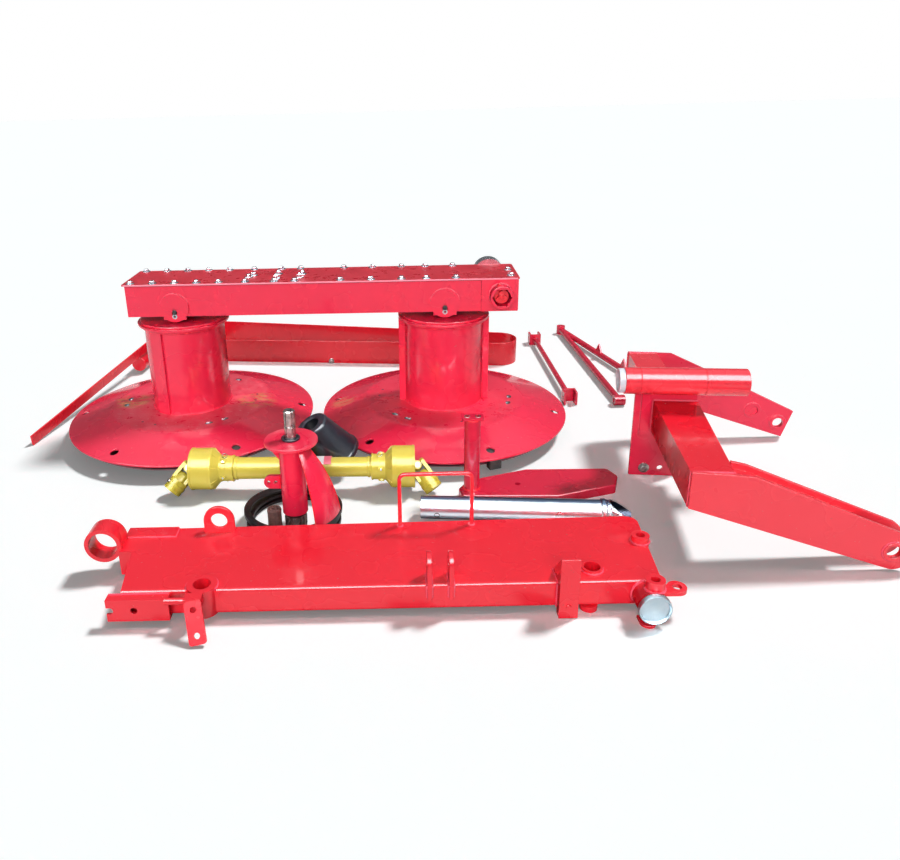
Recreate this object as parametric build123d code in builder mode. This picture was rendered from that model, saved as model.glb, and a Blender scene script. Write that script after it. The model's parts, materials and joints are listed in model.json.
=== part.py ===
from build123d import *
from math import acos, asin, atan2, cos, degrees, hypot, radians, sin
import os

os.makedirs("parts", exist_ok=True)

# A two-drum rotary mower as a knocked-down kit, laid out on a level floor for assembly.
# Millimetres. X runs along the gear beam, Y to the back of the layout, Z up, floor at Z = 0.
# Places on the floor are measured from the point midway between the two drum axes.
# middle_x and middle_y carry that point away from the middle of the whole kit's box.
middle_x, middle_y = 265.6, -63.3

# Shared clearances
seat_gap = 0.3                 # between separate pieces that rest on each other
shaft_gap = 0.5                # radial, between a turning bore and its pin
edge_round = 2.0               # on turned and cast edges

# Cutter unit: drums, discs and skids, stacked from the floor up to the gear beam
drum_spacing = 780.0
skid_radius, skid_flat_radius, skid_height, skid_sheet = 344.0, 170.0, 26.0, 4.0
skid_hub_radius, skid_hub_height = 48.0, 34.0
journal_radius, journal_clearance = 20.0, 3.0
disc_radius, disc_flat_radius, disc_sheet = 371.5, 240.0, 5.0
disc_edge_height, disc_rise = 44.0, 40.0
disc_bend_radius = 60.0
rim_hole_radius, rim_hole_circle, rim_hole_count = 12.0, 337.0, 6
left_disc_turn, right_disc_turn = 3.9, -10.7
drum_radius, drum_wall, drum_height = 117.5, 5.0, 260.0
hub_wall = 12.0
flange_radius, flange_step, flange_height, flange_step_height = 134.0, 8.0, 13.5, 8.0
bar_width = 44.0               # flat bars welded down two sides of each drum
spindle_radius, spindle_flange_radius, spindle_flange_height = 30.0, 62.0, 8.0
beam_clearance = 21.5          # from the drum flange up to the gear beam
holder_root_radius, holder_width, holder_sheet, holder_count = 70.0, 34.0, 5.0, 3
holder_block_length, holder_block_drop = 22.0, 27.0
holder_turn = -60.0            # of the knife arms from the disc's rim holes

# Gear beam, its lid and the input gearbox at its right end
beam_left, beam_right = -528.5, 493.0
beam_width, beam_height, beam_wall = 165.0, 93.0, 5.0
lid_overhang, lid_sheet = 7.7, 4.5
gearbox_right, gearbox_wall, gearbox_plate = 597.0, 8.0, 5.0
boss_x, boss_drop = 548.0, 46.0          # boss_drop is from the beam's top down to its axis
boss_radius, boss_bore_radius, boss_length = 33.0, 24.5, 34.0
boss_key_count, boss_key_width, boss_key_depth = 6, 5.5, 3.0
cap_x, cap_drop, cap_radius, cap_length, cap_rim = 533.0, 26.0, 46.0, 52.0, 9.0
cap_recess, cap_neck_radius, cap_chamfer = 8.0, 24.0, 1.5
pad_radius, pad_plate, pad_drop, pad_tab_width, pad_lift = 42.0, 5.0, 9.0, 66.0, 26.0
pad_slot_length, pad_slot_width = 26.0, 11.0

# Guard hoop behind the drums, its wing and its stub post
hoop_corner, hoop_turn = (690.0, 500.0), -5.3
hoop_length, hoop_height, hoop_sheet = 1432.0, 88.0, 4.0
hoop_end_radius, hoop_left_depth, hoop_inner_length = 68.0, 255.0, 1230.0
wing_length, wing_height, wing_sheet, wing_turn = 785.0, 32.0, 6.0, -103.5
wing_inset = 59.0              # from the hoop's end back to where the wing leans on its top edge
post_stub_radius, post_stub_length, post_stub_height, post_stub_offset = 27.0, 152.0, 38.0, 28.0

# Drive head: the upright input bearing with its pinion and belt guard
head_at = (3.0, -590.0)
head_tube_radius, head_tube_wall, head_tube_bottom, head_tube_top = 30.5, 5.0, 40.0, 222.0
head_flange_radius, head_flange_height = 63.0, 7.0
gusset_plate, gusset_drop = 6.0, 26.0
ear_height, ear_reach, ear_depth, ear_plate, ear_hole_radius = 118.0, 40.0, 34.0, 8.0, 4.0
shaft_radius, shaft_top, shaft_chamfer = 13.5, 302.0, 2.0
spline_count, spline_width, spline_depth, spline_length = 6, 3.2, 2.2, 62.0
groove_drop, groove_width, groove_depth = 40.0, 5.0, 2.5
seal_radius, seal_height = 22.0, 5.0
pinion_radius, pinion_height = 27.0, 30.0
pinion_teeth, tooth_depth, tooth_width = 14, 4.0, 5.5
belt_guard_reach, belt_guard_sheet, belt_guard_bottom = 105.0, 4.0, 45.0
belt_guard_start, belt_guard_sweep = -57.0, 53.0
belt_guard_bulge, belt_guard_bulge_height = 76.0, 143.0

# V-belts coiled round the drive head's foot, and the spacer bush beside it
belt_radius, belt_width, belt_depth, belt_count = 116.0, 12.0, 17.0, 3
belt_chamfer = 2.4
belt_at = (-4.0, -576.0)
bush_at, bush_radius, bush_bore_radius, bush_length = (-47.0, -600.0), 17.5, 6.0, 52.0

# Drive shaft lying in front of the discs, two telescoping halves with a joint at each end
pto_y, pto_height = -420.0, 66.0
pto_left_mouth, pto_right_mouth = -289.0, 294.0
cup_radius, cup_wall, cup_length, cup_taper = 54.0, 4.0, 58.0, 20.0
collar_radius, collar_length = 33.0, 35.0
outer_tube_radius, outer_tube_end = 28.5, 55.0
inner_tube_radius, inner_tube_end = 25.6, -70.0
guard_tube_wall = 2.4
rod_radius, rod_length = 20.0, 150.0
joint_reach = 6.0              # from the cup's mouth out to the joint's centre
yoke_gap, yoke_ear, yoke_ear_radius, yoke_slot, yoke_neck = 28.0, 9.0, 11.0, 32.0, 39.0
cross_arm_radius, cross_hub_radius = 7.0, 11.0
end_tube_radius, end_bore_radius, end_tube_length = 24.0, 17.4, 34.0
left_yoke_turn, right_yoke_turn = 215.0, -39.5

# Rubber shield cone leaning beside the drive shaft
cone_at, cone_lean, cone_nod = (75.0, -306.0), 28.0, 12.0   # leans to the left, nods to the front
cone_base_radius, cone_top_radius, cone_length, cone_wall = 78.0, 44.0, 125.0, 5.0
cone_mouth_radius, cone_lip = 24.0, 12.0

# Carrier beam in front, standing on its feet
carrier_at, carrier_turn = (-299.0, -946.0), 1.4
carrier_foot, carrier_height, carrier_wall = 12.0, 57.0, 5.0
carrier_length, carrier_depth, carrier_right_depth = 1070.0, 229.0, 240.0
carrier_left_slant, carrier_right_slant = -20.0, 22.0
arm_start, arm_end_inset = 140.0, 5.0
carrier_bend = 7.0             # outer radius of the front bends
carrier_corner = 25.0          # rounding of the back right corner
sleeve_x, sleeve_y, sleeve_height = -84.0, 194.0, 79.0
sleeve_radius, sleeve_bore_radius, sleeve_length = 40.0, 31.0, 46.0
saddle_right, saddle_width = 62.0, 34.0  # plate on the beam's top that backs up the sleeve
lug_plate = 9.0
ring_lug_x, ring_lug_radius, ring_lug_hole, ring_lug_rise = 157.0, 34.0, 18.5, 28.0
eye_x, eye_y, eye_radius, eye_hole, eye_rise = 159.0, 15.0, 31.0, 18.0, 4.0
loop_x, loop_width, loop_rise, loop_rod_radius, loop_inset = 560.0, 160.0, 128.0, 4.5, 14.0
loop_bend_radius = 13.5
clevis_x, clevis_spacing, clevis_rise, clevis_hole = 634.0, 43.0, 40.0, 8.0
clevis_radius, clevis_drop, clevis_front = 24.0, 30.0, 9.0
post_inset, post_width, post_front, post_back, post_height = 186.0, 38.0, 22.0, 45.0, 134.0
stub_inset, stub_y, stub_radius, stub_bore, stub_rise = 127.0, 42.0, 21.0, 16.5, 6.0
front_foot_inset, front_foot_y, front_foot_radius = 138.0, 11.0, 18.0
boss_eye_inset, boss_eye_y, boss_eye_radius, boss_eye_hole, boss_eye_rise = 12.0, 140.0, 19.0, 9.0, 14.0
pivot_inset, pivot_height, pivot_radius, pivot_wall, pivot_length = 28.0, 40.0, 29.5, 5.0, 46.0
pivot_cap_radius, pivot_cap_length, pivot_cap_rim = 32.5, 12.0, 4.0
pivot_eye_offset, pivot_eye_top, pivot_foot_width = 6.0, 88.0, 36.0
hook_offset, hook_y, hook_radius, hook_hole, hook_plate = -8.0, -42.0, 16.0, 7.0, 6.0
side_lug_reach, side_lug_y, side_lug_height = 55.0, -9.0, 51.0
channel_left, channel_right, channel_height, channel_depth = -26.0, 98.0, 49.0, 20.0
channel_floor, channel_slot, channel_hole, channel_hole_x = 14.0, 14.0, 7.0, 29.0
strap_x, strap_width, strap_plate, strap_hole = 151.0, 34.0, 6.0, 6.0
strap_foot_y, strap_head_y, strap_head_height = -80.0, -35.0, 69.0
strap_pin_radius = 7.0
strap_lean = 16.0              # from the strap's head sideways to its foot

# Zinc tube behind the carrier
zinc_left, zinc_right = (306.0, -546.0), (812.0, -580.0)
zinc_radius, zinc_wall, zinc_collar, zinc_collar_length = 23.0, 3.5, 3.0, 12.0
zinc_wedge, zinc_hole_radius, zinc_hole_inset = 66.0, 6.0, 36.0

# Foot plate with its post
foot_top, foot_wall, foot_round = 24.0, 5.0, 14.0
foot_outline = [(412, -500), (404, -462), (425, -432), (470, -405), (590, -362), (806, -362),
                (824, -404), (806, -455), (653, -505)]
foot_post_at, foot_post_radius, foot_post_wall, foot_post_top = (438, -459), 20.0, 4.0, 216.0
foot_cap_width, foot_cap_depth, foot_cap_plate, foot_cap_hole = 54.0, 34.0, 6.0, 5.0
foot_hole_at, foot_hole_radius = (558, -444), 7.0

# Hitch headstock at the right
hitch_at, hitch_turn = (934.0, -362.0), -5.0
head_left, head_right, head_top, head_plate = -68.0, 49.0, 300.0, 10.0
head_shoulder_right = 86.0     # the plate widens over the box arm to carry its end
head_hole_radius, head_hole_height, head_hole_spacing = 7.5, 22.0, 42.0
rib_left, rib_bottom, rib_depth = -52.0, 121.0, 8.0
swivel_radius, swivel_bore_radius, swivel_height = 34.0, 25.0, 283.0
swivel_left, swivel_right = -107.0, 189.0
swivel_sleeve_left, swivel_sleeve_right, seam_width, seam_depth = -70.0, 86.0, 1.6, 1.0
swivel_bush_length, swivel_bush_radius, swivel_bush_round = 15.0, 31.0, 1.5
spar_left, spar_right, spar_height, spar_top, spar_wall = -40.0, 38.0, 70.0, 257.0, 6.0
back_link_face, link_spacing = 269.0, 662.0
link_x, link_height, link_hole_radius, link_end_radius = 396.0, 48.0, 14.5, 44.0
link_ring_radius, link_ring_height = 22.0, 4.0
arm_plate, arm_plate_gap = 10.0, 44.0
back_plate_outline = [(-40, 257), (81, 254), (177, 209), (435, 83), (411, 3), (186, 75), (38, 122),
                      (-40, 187)]
spare_hole_x, spare_hole_height = 322.0, 85.0
front_plate_bend, front_plate_top, front_plate_bottom = (98.0, 213.0), 220.0, 134.0
web_plate, web_drop, web_right = 6.0, 14.0, 330.0   # joins the two front plates under their tops
box_arm_back, box_arm_front = (-22.0, 88.0), (-29.0, 61.0)
box_arm_bottom, box_arm_height = 132.0, 84.0

# Links lying at the back right
link_bar_radius, link_boss_radius, link_boss_hole = 11.0, 17.0, 8.0
frame_apex, frame_upper_end, frame_lower_end = (928.0, 884.0), (1110.0, 190.0), (966.0, 118.0)
frame_ears, frame_ear_width, frame_ear_rise, frame_ear_plate = (0.45, 0.7), 52.0, 42.0, 6.0
stay_top, stay_bottom, stay_radius = (797.0, 780.0), (811.0, 120.0), 9.0
stay_fork_width, stay_fork_length, stay_fork_plate, stay_fork_hole = 44.0, 42.0, 7.0, 7.0

level, front, side = (0, 0, 0), (90, 0, 0), (90, 90, 0)
up = (0, 0, 1)


# A level plane at a place on the floor, turned about the vertical.
def spot(x, y, z=0.0, turn=0.0):
    return Plane(
        origin=(x - middle_x, y - middle_y, z),
        x_dir=(cos(radians(turn)), sin(radians(turn)), 0),
        z_dir=up,
    )


# A plane carried by a group's own level plane: level, front (faces -Y) or side (faces +X).
def on(base, x=0.0, y=0.0, z=0.0, facing=level):
    return Plane(base.location * Location((x, y, z), facing))


# The upright axis through a plane's origin.
def upright(base):
    return Axis(base.origin, up)


# Heights of the stack
disc_top = disc_edge_height + disc_rise + disc_sheet
drum_top = disc_top + drum_height
flange_top = drum_top + flange_height
beam_bottom = flange_top + beam_clearance
beam_top = beam_bottom + beam_height
half_beam = beam_width / 2
cutter = spot(0, 0)
bore_radius = spindle_radius + shaft_gap

corner = (Align.MIN, Align.MIN)

# Cutter unit. Each drum with its disc turns about a fixed spindle, and the skid dish under it
# turns on the spindle's lower end. The two drums are timed a quarter turn apart.
for name, place, bar_turn, hole_turn in (
    ("left", -drum_spacing / 2, 90, left_disc_turn),
    ("right", drum_spacing / 2, 0, right_disc_turn),
):
    axis_plane = on(cutter, place)
    section = on(cutter, place, 0, 0, front)
    turning = upright(axis_plane)
    journal_bottom = skid_sheet + journal_clearance
    spindle_bottom = skid_hub_height + journal_clearance

    with BuildPart() as spindle:
        with BuildSketch(on(axis_plane, 0, 0, journal_bottom)):
            Circle(journal_radius)
        extrude(amount=spindle_bottom - journal_bottom)
        with BuildSketch(on(axis_plane, 0, 0, spindle_bottom)):
            Circle(spindle_radius)
        extrude(amount=beam_bottom - spindle_flange_height - spindle_bottom)
        with BuildSketch(on(axis_plane, 0, 0, beam_bottom - spindle_flange_height)):
            Circle(spindle_flange_radius)
        extrude(amount=spindle_flange_height)
    spindle.part.label = f"spindle_{name}"
    export_step(spindle.part, f"parts/spindle_{name}.step")

    with BuildPart() as drum:
        with BuildSketch(section):
            with Locations((drum_radius - drum_wall, disc_top)):
                Rectangle(drum_wall, drum_height, align=corner)
            with Locations((bore_radius, disc_top)):
                Rectangle(hub_wall, drum_height, align=corner)
            with Locations((bore_radius, drum_top)):
                Rectangle(flange_radius - bore_radius, flange_step_height, align=corner)
                Rectangle(flange_radius - flange_step - bore_radius, flange_height, align=corner)
        revolve(axis=turning)
        with BuildSketch(on(spot(place, 0, 0, bar_turn), 0, 0, disc_top)):
            Rectangle(2 * flange_radius, bar_width)
            Circle(drum_radius - drum_wall / 2, mode=Mode.SUBTRACT)
        extrude(amount=drum_height)
    drum.part.label = f"drum_{name}"
    export_step(drum.part, f"parts/drum_{name}.step")

    with BuildPart() as disc:
        with BuildSketch(section) as disc_outline:
            with BuildLine():
                Polyline(
                    (bore_radius, disc_top),
                    (disc_flat_radius, disc_top),
                    (disc_radius, disc_top - disc_rise),
                    (disc_radius, disc_edge_height),
                    (disc_flat_radius, disc_edge_height + disc_rise),
                    (bore_radius, disc_edge_height + disc_rise),
                    close=True,
                )
            make_face()
            bend = disc_outline.vertices().filter_by_position(
                Axis.X, disc_flat_radius - 1, disc_flat_radius + 1
            )
            fillet(bend, disc_bend_radius)
        revolve(axis=turning)
        with BuildSketch(on(axis_plane, 0, 0, disc_edge_height)):
            with PolarLocations(rim_hole_circle, rim_hole_count, hole_turn):
                Circle(rim_hole_radius)
        extrude(amount=disc_rise, mode=Mode.SUBTRACT)
    disc.part.label = f"disc_{name}"
    export_step(disc.part, f"parts/disc_{name}.step")

    # A three-armed spring plate follows the disc's underside and carries the knife studs.
    with BuildPart() as knife_holder:
        with BuildSketch(spot(place, 0, disc_edge_height - holder_block_drop)):
            Circle(holder_root_radius)
            with PolarLocations(0, holder_count, hole_turn + holder_turn):
                Rectangle(disc_radius - seat_gap, holder_width, align=(Align.MIN, Align.CENTER))
            Circle(bore_radius, mode=Mode.SUBTRACT)
        extrude(amount=disc_rise + holder_block_drop)
        with BuildSketch(section) as leaf:
            with BuildLine():
                Polyline(
                    (bore_radius, disc_edge_height + disc_rise),
                    (disc_flat_radius - disc_bend_radius / 2, disc_edge_height + disc_rise),
                    (disc_radius, disc_edge_height - seat_gap),
                    (disc_radius, disc_edge_height - holder_block_drop),
                    (disc_radius - holder_block_length, disc_edge_height - holder_block_drop),
                    (disc_radius - holder_block_length, disc_edge_height - seat_gap),
                    (disc_flat_radius - disc_bend_radius, disc_edge_height + disc_rise - holder_sheet),
                    (bore_radius, disc_edge_height + disc_rise - holder_sheet),
                    close=True,
                )
            make_face()
        revolve(axis=turning, mode=Mode.INTERSECT)
    knife_holder.part.label = f"knife_holder_{name}"
    export_step(knife_holder.part, f"parts/knife_holder_{name}.step")

    with BuildPart() as skid:
        with BuildSketch(section):
            with BuildLine():
                Polyline(
                    (0, 0),
                    (skid_flat_radius, 0),
                    (skid_radius, skid_height - skid_sheet),
                    (skid_radius, skid_height),
                    (skid_flat_radius, skid_sheet),
                    (0, skid_sheet),
                    close=True,
                )
            make_face()
            with Locations((journal_radius + shaft_gap, 0)):
                Rectangle(
                    skid_hub_radius - journal_radius - shaft_gap, skid_hub_height, align=corner
                )
        revolve(axis=turning)
    skid.part.label = f"skid_{name}"
    export_step(skid.part, f"parts/skid_{name}.step")

# The gear beam is an open trough; the round pads on its front face clamp the drum spindles.
pad_height = beam_bottom + pad_lift
with BuildPart() as gear_beam:
    with BuildSketch(on(cutter, 0, 0, beam_bottom)):
        with Locations((beam_left, 0)):
            Rectangle(beam_right - beam_left, beam_width, align=(Align.MIN, Align.CENTER))
    extrude(amount=beam_height)
    with BuildSketch(on(cutter, 0, 0, beam_bottom + beam_wall)):
        with Locations((beam_left + beam_wall, 0)):
            Rectangle(
                beam_right - beam_left - 2 * beam_wall,
                beam_width - 2 * beam_wall,
                align=(Align.MIN, Align.CENTER),
            )
    extrude(amount=beam_height - beam_wall, mode=Mode.SUBTRACT)
    with BuildSketch(on(cutter, 0, -half_beam, 0, front)):
        with Locations((-drum_spacing / 2, pad_height), (drum_spacing / 2, pad_height)):
            Circle(pad_radius)
            Rectangle(pad_tab_width, pad_lift + pad_drop, align=(Align.CENTER, Align.MAX))
            with Locations((0, pad_slot_width - pad_lift)):
                SlotOverall(pad_slot_length, pad_slot_width, rotation=90, mode=Mode.SUBTRACT)
    extrude(amount=pad_plate)
gear_beam.part.label = "gear_beam"
export_step(gear_beam.part, "parts/gear_beam.step")

lid_left, lid_right = beam_left - lid_overhang, gearbox_right + lid_overhang / 2
with BuildPart() as beam_lid:
    with BuildSketch(on(cutter, (lid_left + lid_right) / 2, 0, beam_top)):
        RectangleRounded(lid_right - lid_left, beam_width + 2 * lid_overhang, lid_overhang)
    extrude(amount=lid_sheet)
    fillet(beam_lid.faces().sort_by(Axis.Z)[-1].edges(), lid_sheet / 3)
beam_lid.part.label = "beam_lid"
export_step(beam_lid.part, "parts/beam_lid.step")

# The input gearbox has a keyed boss in front and a bearing cap behind.
gearbox_left = beam_right + seat_gap
gearbox_middle = (gearbox_left + gearbox_right) / 2
boss_height = beam_top - boss_drop
with BuildPart() as input_gearbox:
    with BuildSketch(on(cutter, gearbox_middle, 0, beam_bottom)):
        Rectangle(gearbox_right - gearbox_left, beam_width)
    extrude(amount=beam_height)
    with BuildSketch(on(cutter, gearbox_middle, 0, beam_bottom + gearbox_wall)):
        Rectangle(gearbox_right - gearbox_left - 2 * gearbox_wall, beam_width - 2 * gearbox_wall)
    extrude(amount=beam_height - gearbox_wall, mode=Mode.SUBTRACT)
    with BuildSketch(on(cutter, gearbox_middle, -half_beam, beam_bottom, front)):
        Rectangle(
            gearbox_right - gearbox_left, beam_height, align=(Align.CENTER, Align.MIN)
        )
    extrude(amount=gearbox_plate)
    with BuildSketch(on(cutter, boss_x, -half_beam - gearbox_plate, boss_height, front)):
        Circle(boss_radius)
    extrude(amount=boss_length)
    fillet(input_gearbox.faces().sort_by(Axis.Y)[0].edges(), edge_round)
    with BuildSketch(on(cutter, boss_x, gearbox_wall - half_beam, boss_height, front)):
        Circle(boss_bore_radius)
    extrude(amount=gearbox_wall + gearbox_plate + boss_length, mode=Mode.SUBTRACT)
    with BuildSketch(on(cutter, boss_x, gearbox_wall - half_beam, boss_height, front)):
        with PolarLocations(boss_bore_radius, boss_key_count):
            Rectangle(2 * boss_key_depth, boss_key_width)
    extrude(amount=gearbox_wall + gearbox_plate + boss_length, mode=Mode.SUBTRACT)
input_gearbox.part.label = "input_gearbox"
export_step(input_gearbox.part, "parts/input_gearbox.step")

cap_height = beam_top - cap_drop
cap_plane = on(cutter, cap_x, half_beam + cap_length, cap_height, front)
with BuildPart() as bearing_ring:
    with BuildSketch(cap_plane):
        Circle(cap_radius)
    extrude(amount=cap_length - lid_overhang - seat_gap)
    with BuildSketch(cap_plane):
        Circle(cap_neck_radius)
    extrude(amount=cap_length)
    with BuildSketch(cap_plane):
        Circle(cap_radius - cap_rim)
    extrude(amount=cap_length / 2, mode=Mode.SUBTRACT)
    chamfer(bearing_ring.faces().sort_by(Axis.Y)[-1].edges().sort_by(SortBy.RADIUS)[-1], cap_chamfer)
bearing_ring.part.label = "bearing_ring"
export_step(bearing_ring.part, "parts/bearing_ring.step")

with BuildPart() as bearing_seal:
    with BuildSketch(on(cap_plane, 0, 0, cap_length / 2)):
        Circle(cap_radius - cap_rim - seat_gap)
    extrude(amount=cap_recess - cap_length / 2)
bearing_seal.part.label = "bearing_seal"
export_step(bearing_seal.part, "parts/bearing_seal.step")

# Guard hoop: one flat bar bent round, its inner run spreading away to the left.
hoop_plane = spot(*hoop_corner, 0, hoop_turn + 180)
hoop_run = hoop_end_radius * 2
with BuildPart() as guard_hoop:
    with BuildSketch(hoop_plane):
        with BuildLine():
            Polyline(
                (hoop_end_radius, -hoop_run),
                (hoop_inner_length, -hoop_left_depth),
                (hoop_inner_length, 0),
                (hoop_end_radius, 0),
            )
            ThreePointArc((hoop_end_radius, -hoop_run), (0, -hoop_end_radius), (hoop_end_radius, 0))
        make_face()
        offset(amount=-hoop_sheet, mode=Mode.SUBTRACT)
        with Locations((hoop_inner_length, -hoop_sheet)):
            Rectangle(hoop_length - hoop_inner_length, hoop_sheet, align=corner)
    extrude(amount=hoop_height)
guard_hoop.part.label = "guard_hoop"
export_step(guard_hoop.part, "parts/guard_hoop.step")

# The wing is a separate bar. It leans from the hoop's top edge down to the floor.
wing_rest = hoop_height + 3 * seat_gap
wing_start = on(hoop_plane, hoop_length - wing_inset, -hoop_sheet, wing_rest).origin
wing_level = Plane(origin=wing_start, x_dir=spot(0, 0, 0, wing_turn).x_dir, z_dir=up)
with BuildPart() as guard_wing:
    with BuildSketch(on(wing_level, 0, 0, 0, (0, degrees(asin(wing_rest / wing_length)), 0))):
        Rectangle(wing_length, wing_sheet, align=corner)
    extrude(amount=wing_height)
guard_wing.part.label = "guard_wing"
export_step(guard_wing.part, "parts/guard_wing.step")

with BuildPart() as guard_post:
    with BuildSketch(
        on(hoop_plane, hoop_length - post_stub_offset, seat_gap, post_stub_height, (-90, 0, 0))
    ):
        Circle(post_stub_radius)
    extrude(amount=post_stub_length)
    fillet(guard_post.faces().sort_by(Axis.Y)[0].edges(), edge_round)
guard_post.part.label = "guard_post"
export_step(guard_post.part, "parts/guard_post.step")

# Drive head: an upright bearing tube with its flange, gusset and ear.
head = spot(*head_at)
with BuildPart() as bearing_head:
    with BuildSketch(on(head, 0, 0, head_tube_bottom)):
        Circle(head_tube_radius)
        Circle(head_tube_radius - head_tube_wall, mode=Mode.SUBTRACT)
    extrude(amount=head_tube_top - head_tube_bottom)
    with BuildSketch(on(head, 0, 0, head_tube_top)):
        Circle(head_flange_radius)
        Circle(shaft_radius + shaft_gap, mode=Mode.SUBTRACT)
    extrude(amount=head_flange_height)
    fillet(bearing_head.faces().sort_by(Axis.Z)[-1].edges().sort_by(SortBy.RADIUS)[-1], edge_round)
    with BuildSketch(on(head, 0, gusset_plate / 2, 0, front)):
        with BuildLine():
            Polyline(
                (head_tube_wall - head_tube_radius, head_tube_top),
                (-head_flange_radius, head_tube_top),
                (head_tube_wall - head_tube_radius, head_tube_top - 2 * gusset_drop),
                close=True,
            )
        make_face()
    extrude(amount=gusset_plate)
    with BuildSketch(on(head, 0, ear_plate / 2, ear_height, front)):
        with Locations((head_tube_wall / 2 - head_tube_radius, 0)):
            Rectangle(ear_reach - ear_depth / 2, ear_depth, align=(Align.MAX, Align.CENTER))
        with Locations((ear_depth / 2 - head_tube_radius - ear_reach, 0)):
            Circle(ear_depth / 2)
        with Locations((-head_tube_radius - ear_reach / 2, 0)):
            with GridLocations(ear_depth / 2, 0, 2, 1):
                Circle(ear_hole_radius, mode=Mode.SUBTRACT)
    extrude(amount=ear_plate)
bearing_head.part.label = "bearing_head"
export_step(bearing_head.part, "parts/bearing_head.step")

with BuildPart() as belt_guard:
    with BuildSketch(
        Plane(origin=head.origin, x_dir=spot(0, 0, 0, belt_guard_start).x_dir,
              z_dir=spot(0, 0, 0, belt_guard_start - 90).x_dir)
    ):
        guard_top = head_tube_top - head_flange_height
        guard_root = head_tube_radius + shaft_gap
        with BuildLine():
            inner = ThreePointArc(
                (guard_root, guard_top),
                (belt_guard_bulge, belt_guard_bulge_height),
                (belt_guard_reach, belt_guard_bottom),
            )
            Line(inner @ 1, (belt_guard_reach + belt_guard_sheet, belt_guard_bottom))
            outer = ThreePointArc(
                (guard_root + belt_guard_sheet, guard_top),
                (belt_guard_bulge + belt_guard_sheet, belt_guard_bulge_height),
                (belt_guard_reach + belt_guard_sheet, belt_guard_bottom),
            )
            Line(inner @ 0, outer @ 0)
        make_face()
    revolve(axis=upright(head), revolution_arc=belt_guard_sweep)
belt_guard.part.label = "belt_guard"
export_step(belt_guard.part, "parts/belt_guard.step")

with BuildPart() as input_shaft:
    with BuildSketch(head):
        Circle(shaft_radius)
    extrude(amount=shaft_top)
    chamfer(input_shaft.edges().filter_by(GeomType.CIRCLE).sort_by(Axis.Z)[-1], shaft_chamfer)
    with BuildSketch(on(head, 0, 0, shaft_top - spline_length)):
        with PolarLocations(shaft_radius, spline_count):
            Rectangle(2 * spline_depth, spline_width)
    extrude(amount=spline_length, mode=Mode.SUBTRACT)
    with BuildSketch(on(head, 0, 0, shaft_top - groove_drop)):
        Circle(shaft_radius)
        Circle(shaft_radius - groove_depth, mode=Mode.SUBTRACT)
    extrude(amount=groove_width, mode=Mode.SUBTRACT)
input_shaft.part.label = "input_shaft"
export_step(input_shaft.part, "parts/input_shaft.step")

with BuildPart() as pinion:
    with BuildSketch(head):
        Circle(pinion_radius)
        with PolarLocations(pinion_radius, pinion_teeth):
            Rectangle(2 * tooth_depth, tooth_width, mode=Mode.SUBTRACT)
        Circle(shaft_radius, mode=Mode.SUBTRACT)
    extrude(amount=pinion_height)
pinion.part.label = "pinion"
export_step(pinion.part, "parts/pinion.step")

with BuildPart() as shaft_seal:
    with BuildSketch(on(head, 0, 0, head_tube_top + head_flange_height)):
        Circle(seal_radius)
        Circle(shaft_radius + shaft_gap, mode=Mode.SUBTRACT)
    extrude(amount=seal_height)
shaft_seal.part.label = "shaft_seal"
export_step(shaft_seal.part, "parts/shaft_seal.step")

for index in range(belt_count):
    with BuildPart() as v_belt:
        with BuildSketch(on(spot(*belt_at), 0, 0, index * (belt_width + seat_gap))):
            Circle(belt_radius)
            Circle(belt_radius - belt_depth, mode=Mode.SUBTRACT)
        extrude(amount=belt_width)
        chamfer(
            v_belt.edges().filter_by(GeomType.CIRCLE).sort_by(SortBy.RADIUS)[:2], belt_chamfer
        )
    v_belt.part.label = f"v_belt_{index + 1}"
    export_step(v_belt.part, f"parts/v_belt_{index + 1}.step")

with BuildPart() as spacer_bush:
    with BuildSketch(spot(*bush_at)):
        Circle(bush_radius)
        Circle(bush_bore_radius, mode=Mode.SUBTRACT)
    extrude(amount=bush_length)
    fillet(spacer_bush.faces().sort_by(Axis.Z)[-1].edges().sort_by(SortBy.RADIUS)[-1], edge_round)
spacer_bush.part.label = "spacer_bush"
export_step(spacer_bush.part, "parts/spacer_bush.step")

# Drive shaft. Each half has a guard with a cup, a rod that ends in a yoke inside the cup, a
# cross, and a loose yoke that lies bent down to the floor.
yoke_half = yoke_gap / 2 + yoke_ear
yoke_length = yoke_neck + end_tube_length
yoke_dip = degrees(
    asin((pto_height - seat_gap) / hypot(yoke_length, end_tube_radius))
    - atan2(end_tube_radius, yoke_length)
)


# A yoke on a plane whose X is its pin axis and whose Z points along its shaft.
def make_yoke(base, shaft_radius, shaft_length, bore):
    cheek = Plane(origin=base.origin, x_dir=base.z_dir, z_dir=base.x_dir)
    with BuildPart() as yoke:
        with BuildSketch(cheek):
            Circle(yoke_ear_radius)
            Rectangle(yoke_neck, 2 * yoke_ear_radius, align=(Align.MIN, Align.CENTER))
        extrude(amount=yoke_half, both=True)
        with BuildSketch(cheek):
            with Locations((yoke_slot, 0)):
                Rectangle(
                    yoke_slot + 2 * yoke_ear_radius,
                    3 * yoke_ear_radius,
                    align=(Align.MAX, Align.CENTER),
                )
        extrude(amount=yoke_gap / 2, both=True, mode=Mode.SUBTRACT)
        with BuildSketch(cheek):
            Circle(cross_arm_radius + shaft_gap)
        extrude(amount=yoke_half, both=True, mode=Mode.SUBTRACT)
        with BuildSketch(base.offset(yoke_neck)):
            Circle(shaft_radius)
            if bore:
                Circle(bore, mode=Mode.SUBTRACT)
        extrude(amount=shaft_length)
    return yoke.part


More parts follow.
